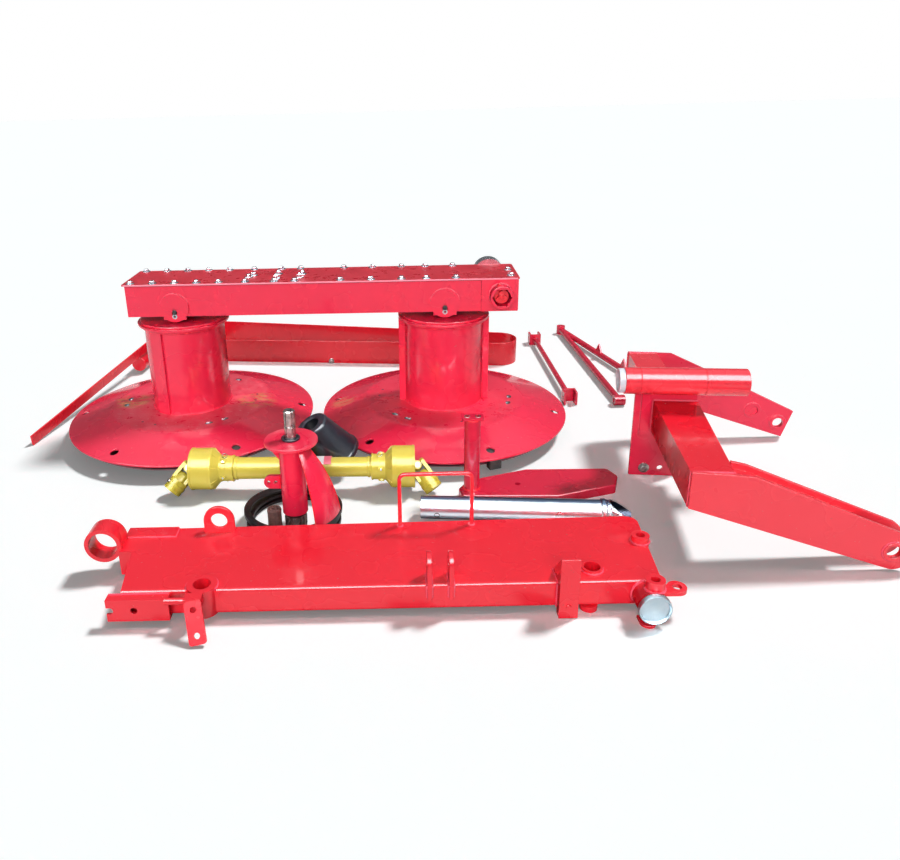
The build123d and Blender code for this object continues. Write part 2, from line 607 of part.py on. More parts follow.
pto_sides = (
    # name, mouth, outward sign, tube radius, tube end, yoke turn
    ("left", pto_left_mouth, -1, outer_tube_radius, outer_tube_end, left_yoke_turn),
    ("right", pto_right_mouth, 1, inner_tube_radius, inner_tube_end, right_yoke_turn),
)
for name, mouth, out, tube_radius, tube_end, yoke_turn in pto_sides:
    pto = spot(0, pto_y, pto_height)
    cup_end = mouth - out * cup_length
    collar_start = cup_end - out * cup_taper
    collar_end = collar_start - out * collar_length
    rod_bore = rod_radius + shaft_gap
    with BuildPart() as pto_guard:
        with BuildSketch(on(pto, 0, 0, 0, front)):
            with BuildLine():
                Polyline(
                    (mouth, cup_radius),
                    (cup_end, cup_radius),
                    (collar_start, collar_radius),
                    (collar_end, collar_radius),
                    (collar_end, tube_radius),
                    (tube_end, tube_radius),
                    (tube_end, tube_radius - guard_tube_wall),
                    (collar_end, tube_radius - guard_tube_wall),
                    (collar_end, rod_bore),
                    (collar_start, rod_bore),
                    (cup_end, cup_radius - cup_wall),
                    (mouth, cup_radius - cup_wall),
                    close=True,
                )
            make_face()
        revolve(axis=Axis(pto.origin, (1, 0, 0)))
    pto_guard.part.label = f"pto_guard_{name}"
    export_step(pto_guard.part, f"parts/pto_guard_{name}.step")

    joint_centre = on(pto, mouth + out * joint_reach).origin
    reach = Vector(
        cos(radians(yoke_dip)) * cos(radians(yoke_turn)),
        cos(radians(yoke_dip)) * sin(radians(yoke_turn)),
        -sin(radians(yoke_dip)),
    )
    bend_axis = Vector(out, 0, 0).cross(reach).normalized()
    rod_plane = Plane(origin=joint_centre, x_dir=bend_axis, z_dir=(-out, 0, 0))
    end_plane = Plane(origin=joint_centre, x_dir=bend_axis.cross(reach), z_dir=reach)

    pto_rod = make_yoke(rod_plane, rod_radius, rod_length, 0)
    pto_rod.label = f"pto_rod_{name}"
    export_step(pto_rod, f"parts/pto_rod_{name}.step")

    pto_yoke = make_yoke(end_plane, end_tube_radius, end_tube_length, end_bore_radius)
    pto_yoke.label = f"pto_yoke_{name}"
    export_step(pto_yoke, f"parts/pto_yoke_{name}.step")

    with BuildPart() as pto_cross:
        for arm in (end_plane.x_dir, end_plane.y_dir):
            with BuildSketch(Plane(origin=joint_centre, z_dir=arm)):
                Circle(cross_arm_radius)
            extrude(amount=yoke_half, both=True)
        with BuildSketch(end_plane):
            Circle(cross_hub_radius)
        extrude(amount=cross_arm_radius, both=True)
    pto_cross.part.label = f"pto_cross_{name}"
    export_step(pto_cross.part, f"parts/pto_cross_{name}.step")

# Rubber shield cone, leaning on the edge of its open base.
cone_tilt = acos(cos(radians(cone_lean)) * cos(radians(cone_nod)))
cone_plane = on(spot(*cone_at), 0, 0, cone_base_radius * sin(cone_tilt), (cone_nod, -cone_lean, 0))
with BuildPart() as shield_cone:
    with BuildSketch(Plane(origin=cone_plane.origin, x_dir=cone_plane.x_dir, z_dir=-cone_plane.y_dir)):
        with BuildLine():
            Polyline(
                (cone_base_radius, 0),
                (cone_base_radius, cone_lip),
                (cone_top_radius + cone_wall, cone_length - cone_lip),
                (cone_top_radius, cone_length),
                (cone_mouth_radius, cone_length),
                (cone_mouth_radius, cone_length - cone_wall),
                (cone_top_radius - cone_wall, cone_length - cone_lip),
                (cone_base_radius - cone_wall, cone_lip / 2),
                (cone_base_radius - cone_wall, 0),
                close=True,
            )
        make_face()
    revolve(axis=Axis(cone_plane.origin, cone_plane.z_dir))
shield_cone.part.label = "shield_cone"
export_step(shield_cone.part, "parts/shield_cone.step")

# Carrier beam: a closed folded box with the arm and sleeve that it swings on.
carrier = spot(*carrier_at, 0, carrier_turn)
carrier_top = carrier_foot + carrier_height
arm_left = sleeve_x + sleeve_radius - arm_end_inset
right_back = carrier_length + carrier_right_slant
wall = carrier_wall


# The beam's right edge at a depth, and its back edge at a length.
def right_edge(y):
    return carrier_length + carrier_right_slant * y / carrier_right_depth


def back_edge(x):
    spread = (carrier_right_depth - carrier_depth) / (right_back - arm_left)
    return carrier_depth + spread * (x - arm_left)


post_x, stub_x = carrier_length - post_inset, carrier_length - stub_inset
pivot_x = carrier_length - pivot_inset
boss_eye_x = right_edge(boss_eye_y) - boss_eye_inset
with BuildPart() as carrier_beam:
    with BuildSketch(on(carrier, 0, 0, carrier_foot)) as carrier_outline:
        with BuildLine():
            Polyline(
                (0, 0),
                (carrier_length, 0),
                (right_back, carrier_right_depth),
                (arm_left, carrier_depth),
                (arm_left, arm_start),
                (carrier_left_slant, arm_start),
                close=True,
            )
        make_face()
        fillet(carrier_outline.vertices().sort_by(Axis.X)[-1], carrier_corner)
    extrude(amount=carrier_height)
    fillet(carrier_beam.edges().filter_by(Axis.X, tolerance=3).sort_by(Axis.Y)[:2], carrier_bend)
    with BuildSketch(on(carrier, 0, 0, carrier_foot + wall)) as carrier_hollow:
        with BuildLine():
            Polyline(
                (wall, wall),
                (carrier_length - wall, wall),
                (right_back - wall, carrier_right_depth - wall),
                (arm_left + wall, carrier_depth - wall),
                (arm_left + wall, arm_start + wall),
                (carrier_left_slant + wall, arm_start + wall),
                close=True,
            )
        make_face()
        fillet(carrier_hollow.vertices().sort_by(Axis.X)[-1], carrier_corner)
    extrude(amount=carrier_height - 2 * wall, mode=Mode.SUBTRACT)
    with BuildSketch(on(carrier, 0, 0, carrier_top)):
        with Locations((arm_left, carrier_depth)):
            Rectangle(saddle_right - arm_left, saddle_width, align=(Align.MIN, Align.MAX))
    extrude(amount=wall)
    with BuildSketch(on(carrier, sleeve_x, sleeve_y, sleeve_height, front)):
        Circle(sleeve_radius)
    extrude(amount=sleeve_length)
    with BuildSketch(on(carrier, sleeve_x, sleeve_y, sleeve_height, front)):
        Circle(sleeve_bore_radius)
    extrude(amount=sleeve_length, mode=Mode.SUBTRACT)
    for x, y, foot, radius, bore, rise in (
        (eye_x, eye_y, carrier_foot, eye_radius, eye_hole, eye_rise),
        (stub_x, stub_y, 0, stub_radius, stub_bore, stub_rise),
        (boss_eye_x, boss_eye_y, carrier_foot, boss_eye_radius, boss_eye_hole, boss_eye_rise),
    ):
        with BuildSketch(on(carrier, x, y, foot)):
            Circle(radius)
        extrude(amount=carrier_top + rise - foot)
        with BuildSketch(on(carrier, x, y, foot)):
            Circle(bore)
        extrude(amount=carrier_top + rise - foot, mode=Mode.SUBTRACT)
    with BuildSketch(on(carrier, carrier_length - front_foot_inset, front_foot_y)):
        Circle(front_foot_radius)
    extrude(amount=carrier_foot)
carrier_beam.part.label = "carrier_beam"
export_step(carrier_beam.part, "parts/carrier_beam.step")

with BuildPart() as ring_lug:
    with BuildSketch(on(carrier, ring_lug_x, carrier_depth - lug_plate, carrier_top, front)):
        with Locations((0, ring_lug_rise)):
            Circle(ring_lug_radius)
        Rectangle(2 * ring_lug_radius, ring_lug_rise, align=(Align.CENTER, Align.MIN))
        with Locations((0, ring_lug_rise)):
            Circle(ring_lug_hole, mode=Mode.SUBTRACT)
        with Locations((0, 0)):
            Rectangle(
                3 * ring_lug_radius, ring_lug_radius, align=(Align.CENTER, Align.MAX),
                mode=Mode.SUBTRACT,
            )
    extrude(amount=lug_plate)
ring_lug.part.label = "ring_lug"
export_step(ring_lug.part, "parts/ring_lug.step")

loop_plane = on(carrier, loop_x, back_edge(loop_x) - loop_inset, carrier_top, front)
with BuildPart() as hose_loop:
    with BuildLine(loop_plane) as loop_path:
        FilletPolyline(
            (0, 0), (0, loop_rise), (loop_width, loop_rise), (loop_width, 0),
            radius=loop_bend_radius,
        )
    with BuildSketch(Plane(origin=loop_path.line @ 0, z_dir=up)):
        Circle(loop_rod_radius)
    sweep()
hose_loop.part.label = "hose_loop"
export_step(hose_loop.part, "parts/hose_loop.step")

for name, offset_x in (("left", -clevis_spacing / 2), ("right", clevis_spacing / 2)):
    with BuildPart() as clevis_lug:
        with BuildSketch(on(carrier, clevis_x + offset_x - lug_plate / 2, 0, carrier_top, side)):
            with Locations((clevis_radius - clevis_front, clevis_rise)):
                Circle(clevis_radius)
            with Locations((-clevis_front, 0)):
                Rectangle(2 * clevis_radius, clevis_rise, align=corner)
            with Locations((-clevis_front, -clevis_drop)):
                Rectangle(clevis_front, clevis_drop, align=corner)
            with Locations((clevis_radius - clevis_front, clevis_rise)):
                Circle(clevis_hole, mode=Mode.SUBTRACT)
        extrude(amount=lug_plate)
    clevis_lug.part.label = f"clevis_lug_{name}"
    export_step(clevis_lug.part, f"parts/clevis_lug_{name}.step")

# The post is a channel whose side flanges reach back over the beam's top.
with BuildPart() as carrier_post:
    with BuildSketch(on(carrier, post_x - post_width / 2, 0, 0, side)):
        with BuildLine():
            Polyline(
                (-post_front, 0),
                (0, 0),
                (0, carrier_top),
                (post_back, carrier_top),
                (wall - post_front, post_height),
                (-post_front, post_height),
                close=True,
            )
        make_face()
    extrude(amount=post_width)
    with BuildSketch(on(carrier, post_x - post_width / 2 + wall, wall - post_front)):
        Rectangle(post_width - 2 * wall, post_front + post_back, align=corner)
    extrude(amount=post_height, mode=Mode.SUBTRACT)
carrier_post.part.label = "carrier_post"
export_step(carrier_post.part, "parts/carrier_post.step")

# The pivot stub on the beam's front face, with its eye, side lug, foot and zinc cap.
with BuildPart() as pivot_stub:
    with BuildSketch(on(carrier, pivot_x, 0, pivot_height, front)):
        Circle(pivot_radius)
    extrude(amount=pivot_length)
    with BuildSketch(on(carrier, pivot_x + pivot_eye_offset, -pivot_length / 2, pivot_height)):
        Circle(boss_eye_radius)
    extrude(amount=pivot_eye_top - pivot_height)
    with BuildSketch(on(carrier, pivot_x, side_lug_y, side_lug_height)):
        with Locations((0, -boss_eye_radius)):
            Rectangle(side_lug_reach, boss_eye_radius - side_lug_y - seat_gap, align=corner)
        with Locations((side_lug_reach, 0)):
            Circle(boss_eye_radius)
            Circle(boss_eye_hole, mode=Mode.SUBTRACT)
    extrude(amount=lug_plate)
    with BuildSketch(on(carrier, pivot_x, -pivot_length / 2, 0)):
        Rectangle(pivot_foot_width, lug_plate)
    extrude(amount=pivot_height)
    with BuildSketch(on(carrier, pivot_x + hook_offset, hook_y)):
        Circle(hook_radius)
        Rectangle(2 * hook_radius, -pivot_length / 2 - hook_y, align=(Align.CENTER, Align.MIN))
        Circle(hook_hole, mode=Mode.SUBTRACT)
    extrude(amount=hook_plate)
    with BuildSketch(on(carrier, pivot_x, 0, pivot_height, front)):
        Circle(pivot_radius - pivot_wall)
    extrude(amount=pivot_length, mode=Mode.SUBTRACT)
    with BuildSketch(on(carrier, pivot_x + pivot_eye_offset, -pivot_length / 2, pivot_height)):
        Circle(boss_eye_hole)
    extrude(amount=pivot_eye_top - pivot_height, mode=Mode.SUBTRACT)
pivot_stub.part.label = "pivot_stub"
export_step(pivot_stub.part, "parts/pivot_stub.step")

cap_front = on(carrier, pivot_x, -pivot_length, pivot_height, front)
with BuildPart() as pivot_cap:
    with BuildSketch(cap_front):
        Circle(pivot_cap_radius)
    extrude(amount=pivot_cap_length)
    with BuildSketch(cap_front.offset(pivot_cap_length)):
        Circle(pivot_cap_radius - pivot_cap_rim)
    extrude(amount=-pivot_cap_length / 2, mode=Mode.SUBTRACT)
pivot_cap.part.label = "pivot_cap"
export_step(pivot_cap.part, "parts/pivot_cap.step")

with BuildPart() as channel_bracket:
    with BuildSketch(on(carrier, channel_left, 0, channel_floor, side)):
        with Locations((-channel_depth, 0)):
            Rectangle(channel_depth, channel_height, align=corner)
        with Locations((0, wall)):
            Rectangle(
                channel_depth - wall, channel_height - 2 * wall,
                align=(Align.MAX, Align.MIN), mode=Mode.SUBTRACT,
            )
    extrude(amount=channel_right - channel_left)
    with BuildSketch(on(carrier, 0, 0, channel_floor + channel_height / 2, front)):
        with Locations((channel_left, 0)):
            SlotOverall(2 * channel_slot, channel_slot)
        with Locations((channel_hole_x, 0)):
            Circle(channel_hole)
    extrude(amount=channel_depth, mode=Mode.SUBTRACT)
    strap_pin_y = eye_y - eye_radius - seat_gap - strap_pin_radius
    strap_pin_height = strap_head_height - seat_gap - strap_pin_radius
    with BuildSketch(on(carrier, channel_right - wall, strap_pin_y, strap_pin_height, side)):
        Circle(strap_pin_radius)
    extrude(amount=strap_x + strap_width / 2 - channel_right + wall)
channel_bracket.part.label = "channel_bracket"
export_step(channel_bracket.part, "parts/channel_bracket.step")

strap_slope = degrees(atan2(strap_head_height, strap_head_y - strap_foot_y))
strap_length = hypot(strap_head_height, strap_head_y - strap_foot_y)
strap_tongue = strap_plate - strap_head_y + eye_y - eye_radius - seat_gap
strap_swing = degrees(atan2(strap_lean, strap_length))
strap_lift = strap_width / 2 * sin(radians(strap_swing))
with BuildPart() as strap_bracket:
    strap_face = on(carrier, strap_x + strap_lean, strap_foot_y, strap_lift, (strap_slope, 0, 0))
    with BuildSketch(on(strap_face, 0, 0, 0, (0, 0, strap_swing))):
        with Locations((0, strap_length / 2)):
            RectangleRounded(strap_width, strap_length, strap_plate)
        with Locations((0, strap_width / 2), (0, strap_length - strap_width / 2)):
            Circle(strap_hole, mode=Mode.SUBTRACT)
    extrude(amount=strap_plate)
    with BuildSketch(on(carrier, strap_x, strap_head_y - strap_plate, strap_head_height)):
        Rectangle(strap_width, strap_tongue, align=(Align.CENTER, Align.MIN))
    extrude(amount=strap_plate)
strap_bracket.part.label = "strap_bracket"
export_step(strap_bracket.part, "parts/strap_bracket.step")


# A plane at one floor point that looks along the floor at another, and the way between them.
def towards(start, end, height):
    first, last = spot(*start, height).origin, spot(*end, height).origin
    return Plane(origin=first, x_dir=(last - first).cross(Vector(up)), z_dir=last - first), abs(last - first)


zinc_plane, zinc_length = towards(zinc_left, zinc_right, zinc_radius + zinc_collar)
with BuildPart() as zinc_tube:
    with BuildSketch(zinc_plane):
        Circle(zinc_radius)
    extrude(amount=zinc_length)
    with BuildSketch(zinc_plane.offset(zinc_length - zinc_wedge - zinc_collar_length)):
        Circle(zinc_radius + zinc_collar)
    extrude(amount=zinc_collar_length)
    with BuildSketch(zinc_plane):
        Circle(zinc_radius - zinc_wall)
    extrude(amount=zinc_length, mode=Mode.SUBTRACT)
    tip = Plane(origin=zinc_plane.origin, x_dir=zinc_plane.z_dir, z_dir=-zinc_plane.x_dir)
    with BuildSketch(tip):
        with BuildLine():
            Polyline(
                (zinc_length - zinc_wedge, zinc_radius + zinc_collar),
                (zinc_length + zinc_collar, zinc_radius + zinc_collar),
                (zinc_length + zinc_collar, -zinc_radius / 2),
                close=True,
            )
        make_face()
    extrude(amount=2 * zinc_radius, both=True, mode=Mode.SUBTRACT)
    with BuildSketch(tip):
        with Locations((zinc_hole_inset, 0)):
            Circle(zinc_hole_radius)
    extrude(amount=2 * zinc_radius, both=True, mode=Mode.SUBTRACT)
zinc_tube.part.label = "zinc_tube"
export_step(zinc_tube.part, "parts/zinc_tube.step")

# Foot plate: a tapered pressed channel with its post and cross plate.
floor_origin = spot(0, 0)
with BuildPart() as foot_plate:
    with BuildSketch(floor_origin) as foot_shape:
        with BuildLine():
            Polyline(*foot_outline, close=True)
        make_face()
        fillet(foot_shape.vertices(), foot_round)
    extrude(amount=foot_top)
    fillet(foot_plate.faces().sort_by(Axis.Z)[-1].edges(), foot_wall)
    with BuildSketch(floor_origin) as foot_hollow:
        add(foot_shape.sketch)
        offset(amount=-foot_wall, kind=Kind.INTERSECTION, mode=Mode.REPLACE)
    extrude(amount=foot_top - foot_wall, mode=Mode.SUBTRACT)
    with BuildSketch(floor_origin):
        with Locations(foot_hole_at):
            Circle(foot_hole_radius)
    extrude(amount=foot_top, mode=Mode.SUBTRACT)
foot_plate.part.label = "foot_plate"
export_step(foot_plate.part, "parts/foot_plate.step")

with BuildPart() as foot_post:
    with BuildSketch(spot(*foot_post_at, foot_top)):
        Circle(foot_post_radius)
        Circle(foot_post_radius - foot_post_wall, mode=Mode.SUBTRACT)
    extrude(amount=foot_post_top - foot_top)
    with BuildSketch(spot(*foot_post_at, foot_post_top)):
        RectangleRounded(foot_cap_width, foot_cap_depth, foot_cap_plate)
        with GridLocations(foot_cap_width / 2, 0, 2, 1):
            Circle(foot_cap_hole, mode=Mode.SUBTRACT)
    extrude(amount=foot_cap_plate)
foot_post.part.label = "foot_post"
export_step(foot_post.part, "parts/foot_post.step")

# Hitch headstock: an upright plate with the swivel tube in front and an arm to each link pin.
hitch = spot(*hitch_at, 0, hitch_turn)
with BuildPart() as headstock_plate:
    with BuildSketch(on(hitch, 0, head_plate, 0, front)):
        with BuildLine():
            Polyline(
                (head_left, 0),
                (head_right, 0),
                (head_right, box_arm_bottom),
                (head_shoulder_right, box_arm_bottom + box_arm_height),
                (head_shoulder_right, head_top),
                (head_left, head_top),
                close=True,
            )
        make_face()
        with Locations(((head_left + head_right) / 2, head_hole_height)):
            with GridLocations(head_hole_spacing, 0, 2, 1):
                Circle(head_hole_radius, mode=Mode.SUBTRACT)
    extrude(amount=head_plate)
    rib_right = box_arm_front[0] - seat_gap
    with BuildSketch(on(hitch, 0, 0, rib_bottom, front)):
        with Locations((rib_left, 0)):
            Rectangle(
                rib_right - rib_left,
                swivel_height - swivel_radius - seat_gap - rib_bottom,
                align=corner,
            )
    extrude(amount=rib_depth)
headstock_plate.part.label = "headstock_plate"
export_step(headstock_plate.part, "parts/headstock_plate.step")

swivel_y = -swivel_radius - seat_gap
with BuildPart() as swivel_tube:
    with BuildSketch(on(hitch, swivel_left, swivel_y, swivel_height, side)):
        Circle(swivel_radius)
    extrude(amount=swivel_right - swivel_left)
    for seam in (swivel_sleeve_left, swivel_sleeve_right):
        with BuildSketch(on(hitch, seam, swivel_y, swivel_height, side)):
            Circle(swivel_radius)
            Circle(swivel_radius - seam_depth, mode=Mode.SUBTRACT)
        extrude(amount=seam_width, mode=Mode.SUBTRACT)
    with BuildSketch(on(hitch, swivel_left, swivel_y, swivel_height, side)):
        Circle(swivel_bore_radius)
    extrude(amount=swivel_right - swivel_left, mode=Mode.SUBTRACT)
swivel_tube.part.label = "swivel_tube"
export_step(swivel_tube.part, "parts/swivel_tube.step")

with BuildPart() as swivel_bush:
    with BuildSketch(on(hitch, swivel_left - swivel_bush_length, swivel_y, swivel_height, side)):
        Circle(swivel_bush_radius)
        Circle(swivel_bore_radius, mode=Mode.SUBTRACT)
    extrude(amount=swivel_bush_length)
    outer_edges = swivel_bush.edges().filter_by(GeomType.CIRCLE).sort_by(SortBy.RADIUS)[-2:]
    fillet(outer_edges.sort_by(Axis.X)[0], swivel_bush_round)
swivel_bush.part.label = "swivel_bush"
export_step(swivel_bush.part, "parts/swivel_bush.step")

spar_back = back_link_face - arm_plate
with BuildPart() as hitch_spar:
    with BuildSketch(on(hitch, 0, spar_back, spar_top, front)):
        with Locations((spar_left, 0)):
            Rectangle(spar_right - spar_left, spar_height, align=(Align.MIN, Align.MAX))
        with Locations((spar_left + spar_wall, -spar_wall)):
            Rectangle(
                spar_right - spar_left - 2 * spar_wall,
                spar_height - 2 * spar_wall,
                align=(Align.MIN, Align.MAX),
                mode=Mode.SUBTRACT,
            )
    extrude(amount=spar_back - head_plate)
hitch_spar.part.label = "hitch_spar"
export_step(hitch_spar.part, "parts/hitch_spar.step")

with BuildPart() as back_link_plate:
    with BuildSketch(on(hitch, 0, back_link_face, 0, front)):
        with BuildLine():
            Polyline(*back_plate_outline, close=True)
        make_face()
        with Locations((link_x, link_height)):
            Circle(link_hole_radius, mode=Mode.SUBTRACT)
    extrude(amount=arm_plate)
    with BuildSketch(on(hitch, 0, back_link_face - arm_plate, 0, front)):
        with Locations((link_x, link_height), (spare_hole_x, spare_hole_height)):
            Circle(link_ring_radius)
            Circle(link_hole_radius, mode=Mode.SUBTRACT)
    extrude(amount=link_ring_height)
back_link_plate.part.label = "back_link_plate"
export_step(back_link_plate.part, "parts/back_link_plate.step")

# The front arm is a tapered box from the headstock to the front link plate; a second, inner
# plate beside the box doubles the eye, and a bent web under the plates' tops joins the two.
front_link_face = back_link_face - link_spacing
inner_link_face = front_link_face + arm_plate + arm_plate_gap
box_right_slope = (box_arm_back[1] - box_arm_front[1]) / -front_link_face


eye_sweep = 155.0
eye_top_x = link_x + link_end_radius * sin(radians(eye_sweep))
eye_top_height = link_height - link_end_radius * cos(radians(eye_sweep))
top_slope = (eye_top_height - front_plate_bend[1]) / (eye_top_x - front_plate_bend[0])


# The box arm's right side at a distance behind the headstock's face.
def box_side(y):
    return box_arm_back[1] + box_right_slope * y


for name, face, inner_end in (
    ("front", front_link_face, box_arm_front[0]),
    ("inner", inner_link_face, box_side(inner_link_face) + seat_gap),
):
    with BuildPart() as link_plate:
        with BuildSketch(on(hitch, 0, face, 0, front)):
            with BuildLine():
                eye = CenterArc((link_x, link_height), link_end_radius, -90, eye_sweep)
                Polyline(
                    eye @ 1,
                    front_plate_bend,
                    (inner_end, front_plate_top),
                    (inner_end, front_plate_bottom),
                    eye @ 0,
                )
            make_face()
            with Locations((link_x, link_height)):
                Circle(link_hole_radius, mode=Mode.SUBTRACT)
        extrude(amount=arm_plate)
        with BuildSketch(on(hitch, 0, face - arm_plate, 0, front)):
            with Locations((link_x, link_height)):
                Circle(link_ring_radius)
                Circle(link_hole_radius, mode=Mode.SUBTRACT)
        extrude(amount=link_ring_height)
        if name == "inner":
            tops = (
                (inner_end, front_plate_top),
                front_plate_bend,
                (web_right, front_plate_bend[1] + top_slope * (web_right - front_plate_bend[0])),
            )
            with BuildSketch(on(hitch, 0, face - arm_plate, 0, front)):
                with BuildLine():
                    Polyline(
                        *[(x, z - web_drop) for x, z in tops],
                        *[(x, z - web_drop - web_plate) for x, z in reversed(tops)],
                        close=True,
                    )
                make_face()
            extrude(amount=arm_plate_gap - seat_gap)
    link_plate.part.label = f"link_plate_{name}"
    export_step(link_plate.part, f"parts/link_plate_{name}.step")

arm_floor = on(hitch, 0, 0, box_arm_bottom)
with BuildPart() as box_arm:
    with BuildSketch(arm_floor):
        with BuildLine():
            Polyline(
                (box_arm_back[0], 0),
                (box_arm_back[1], 0),
                (box_arm_front[1], front_link_face),
                (box_arm_front[0], front_link_face),
                close=True,
            )
        make_face()
    extrude(amount=box_arm_height)
    with BuildSketch(arm_floor.offset(spar_wall)):
        with BuildLine():
            Polyline(
                (box_arm_back[0] + spar_wall, 0),
                (box_arm_back[1] - spar_wall, 0),
                (box_arm_front[1] - spar_wall, front_link_face),
                (box_arm_front[0] + spar_wall, front_link_face),
                close=True,
            )
        make_face()
    extrude(amount=box_arm_height - 2 * spar_wall, mode=Mode.SUBTRACT)
box_arm.part.label = "box_arm"
export_step(box_arm.part, "parts/box_arm.step")

# Links on the floor at the back right: the A-shaped stay frame and a straight stay.
with BuildPart() as stay_frame:
    for end in (frame_upper_end, frame_lower_end):
        bar_plane, bar_length = towards(frame_apex, end, link_boss_radius)
        with BuildSketch(bar_plane):
            Circle(link_bar_radius)
        extrude(amount=bar_length)
        boss = Plane(origin=bar_plane.origin + bar_plane.z_dir * bar_length, z_dir=bar_plane.x_dir)
        with BuildSketch(boss):
            Circle(link_boss_radius)
        extrude(amount=link_boss_radius, both=True)
        with BuildSketch(boss):
            Circle(link_boss_hole)
        extrude(amount=link_boss_radius, both=True, mode=Mode.SUBTRACT)
    with BuildSketch(spot(*frame_apex, 0)):
        Circle(link_boss_radius)
    extrude(amount=2 * link_boss_radius)
    upper_plane, upper_length = towards(frame_apex, frame_upper_end, link_boss_radius)
    for share in frame_ears:
        ear_origin = upper_plane.origin + upper_plane.z_dir * (share * upper_length)
        with BuildSketch(Plane(origin=ear_origin, x_dir=upper_plane.z_dir, z_dir=upper_plane.x_dir)):
            with BuildLine():
                Polyline(
                    (-frame_ear_width / 2, 0), (frame_ear_width / 2, 0), (0, frame_ear_rise),
                    close=True,
                )
            make_face()
        extrude(amount=frame_ear_plate / 2, both=True)
stay_frame.part.label = "stay_frame"
export_step(stay_frame.part, "parts/stay_frame.step")

stay_height = stay_fork_width / 2
stay_plane, stay_length = towards(stay_top, stay_bottom, stay_height)
with BuildPart() as straight_stay:
    with BuildSketch(stay_plane.offset(stay_fork_length)):
        Circle(stay_radius)
    extrude(amount=stay_length - 2 * stay_fork_length)
    for start, way in ((stay_fork_length, -1), (stay_length - stay_fork_length, 1)):
        root = stay_plane.offset(start)
        with BuildSketch(root):
            Rectangle(stay_fork_width, stay_fork_width)
        extrude(amount=way * stay_fork_plate)
        with BuildSketch(root):
            with Locations(
                ((stay_fork_width - stay_fork_plate) / 2, 0), ((stay_fork_plate - stay_fork_width) / 2, 0)
            ):
                Rectangle(stay_fork_plate, stay_fork_width)
        extrude(amount=way * stay_fork_length)
        with BuildSketch(
            Plane(
                origin=root.origin + root.z_dir * (way * (stay_fork_length - stay_fork_plate * 2)),
                x_dir=root.z_dir,
                z_dir=root.x_dir,
            )
        ):
            Circle(stay_fork_hole)
        extrude(amount=stay_fork_width, both=True, mode=Mode.SUBTRACT)
straight_stay.part.label = "straight_stay"
export_step(straight_stay.part, "parts/straight_stay.step")
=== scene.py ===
import cmath
import json
import math
import random

import bmesh
import bpy
from mathutils import noise as field
from mathutils import Matrix, Vector


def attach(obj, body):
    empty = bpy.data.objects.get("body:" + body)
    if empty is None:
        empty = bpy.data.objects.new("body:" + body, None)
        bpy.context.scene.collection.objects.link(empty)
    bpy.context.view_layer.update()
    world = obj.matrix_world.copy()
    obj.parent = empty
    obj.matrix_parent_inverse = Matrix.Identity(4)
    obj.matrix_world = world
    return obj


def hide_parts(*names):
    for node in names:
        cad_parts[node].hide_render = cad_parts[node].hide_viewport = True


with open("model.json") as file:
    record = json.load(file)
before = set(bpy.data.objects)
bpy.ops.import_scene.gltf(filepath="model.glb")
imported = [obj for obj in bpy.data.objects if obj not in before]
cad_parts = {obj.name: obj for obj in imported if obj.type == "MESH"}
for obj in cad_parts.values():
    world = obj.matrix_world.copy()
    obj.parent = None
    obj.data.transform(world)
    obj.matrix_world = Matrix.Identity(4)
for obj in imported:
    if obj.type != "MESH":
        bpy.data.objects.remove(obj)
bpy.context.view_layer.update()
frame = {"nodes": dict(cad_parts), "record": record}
nodes = frame["nodes"]
random.seed(7)
print("frame loaded,", len(nodes), "nodes")


# places, in millimetres from the same point as the part's source
kitMiddle = (265.6, -63.3)
facings = {"level": (0, "X"), "front": (90, "X"), "back": (-90, "X"), "right": (90, "Y"),
           "left": (-90, "Y")}
upright, inward = Vector((0, 0, 1)), Vector((0, 1, 0))


def turned(degrees, axis="Z"):
    return Matrix.Rotation(math.radians(degrees), 4, axis)


def spot(x, y, z=0.0, turn=0.0):
    return Matrix.Translation((x - kitMiddle[0], y - kitMiddle[1], z)) @ turned(turn)


def on(base, x=0.0, y=0.0, z=0.0, facing="level"):
    return base @ Matrix.Translation((x, y, z)) @ turned(*facings[facing])


def polar(at, radius, angle, height=0):
    return at @ Vector((radius * math.cos(angle), radius * math.sin(angle), height))


def circle(at, radius, start=0.0, sweep=360.0, steps=48):
    count = steps if sweep >= 360 else steps + 1
    return [polar(at, radius, math.radians(start + sweep * i / steps)) for i in range(count)]


def line(at, *corners):
    return [at @ Vector(corner) for corner in corners]


# points on the circle through three points in a plane, taken as complex numbers
def arcThrough(first, middle, last, steps=16):
    a, b, c = (complex(*point) for point in (first, middle, last))
    share = (c - a) / (b - a)
    centre = a + (b - a) * (share - abs(share) ** 2) / (2j * share.imag)
    start, end = cmath.phase(a - centre), cmath.phase(c - centre)
    turns = [start + (end - start) * i / steps for i in range(steps + 1)]
    points = [centre + cmath.rect(abs(a - centre), turn) for turn in turns]
    return [(point.real, point.imag) for point in points]


cutter = spot(0, 0)
drumSides = {"left": -390.0, "right": 390.0}
carrier = spot(-299, -946, 0, 1.4)
hitch = spot(934, -362, 0, -5)
head = spot(3, -590)


# mesh helpers, all in millimetres
def lathe(bm, at, profile, steps=40):
    rings = []
    for radius, height in profile:
        if radius < 0.01:
            rings.append([bm.verts.new(at @ Vector((0, 0, height)))])
        else:
            points = circle(on(at, 0, 0, height), radius, 0, 360, steps)
            rings.append([bm.verts.new(p) for p in points])
    for low, high in zip(rings, rings[1:]):
        for i in range(steps):
            j = (i + 1) % steps
            corners = (low[i % len(low)], low[j % len(low)],
                       high[j % len(high)], high[i % len(high)])
            face = list(dict.fromkeys(corners))
            if len(face) > 2:
                bm.faces.new(face)


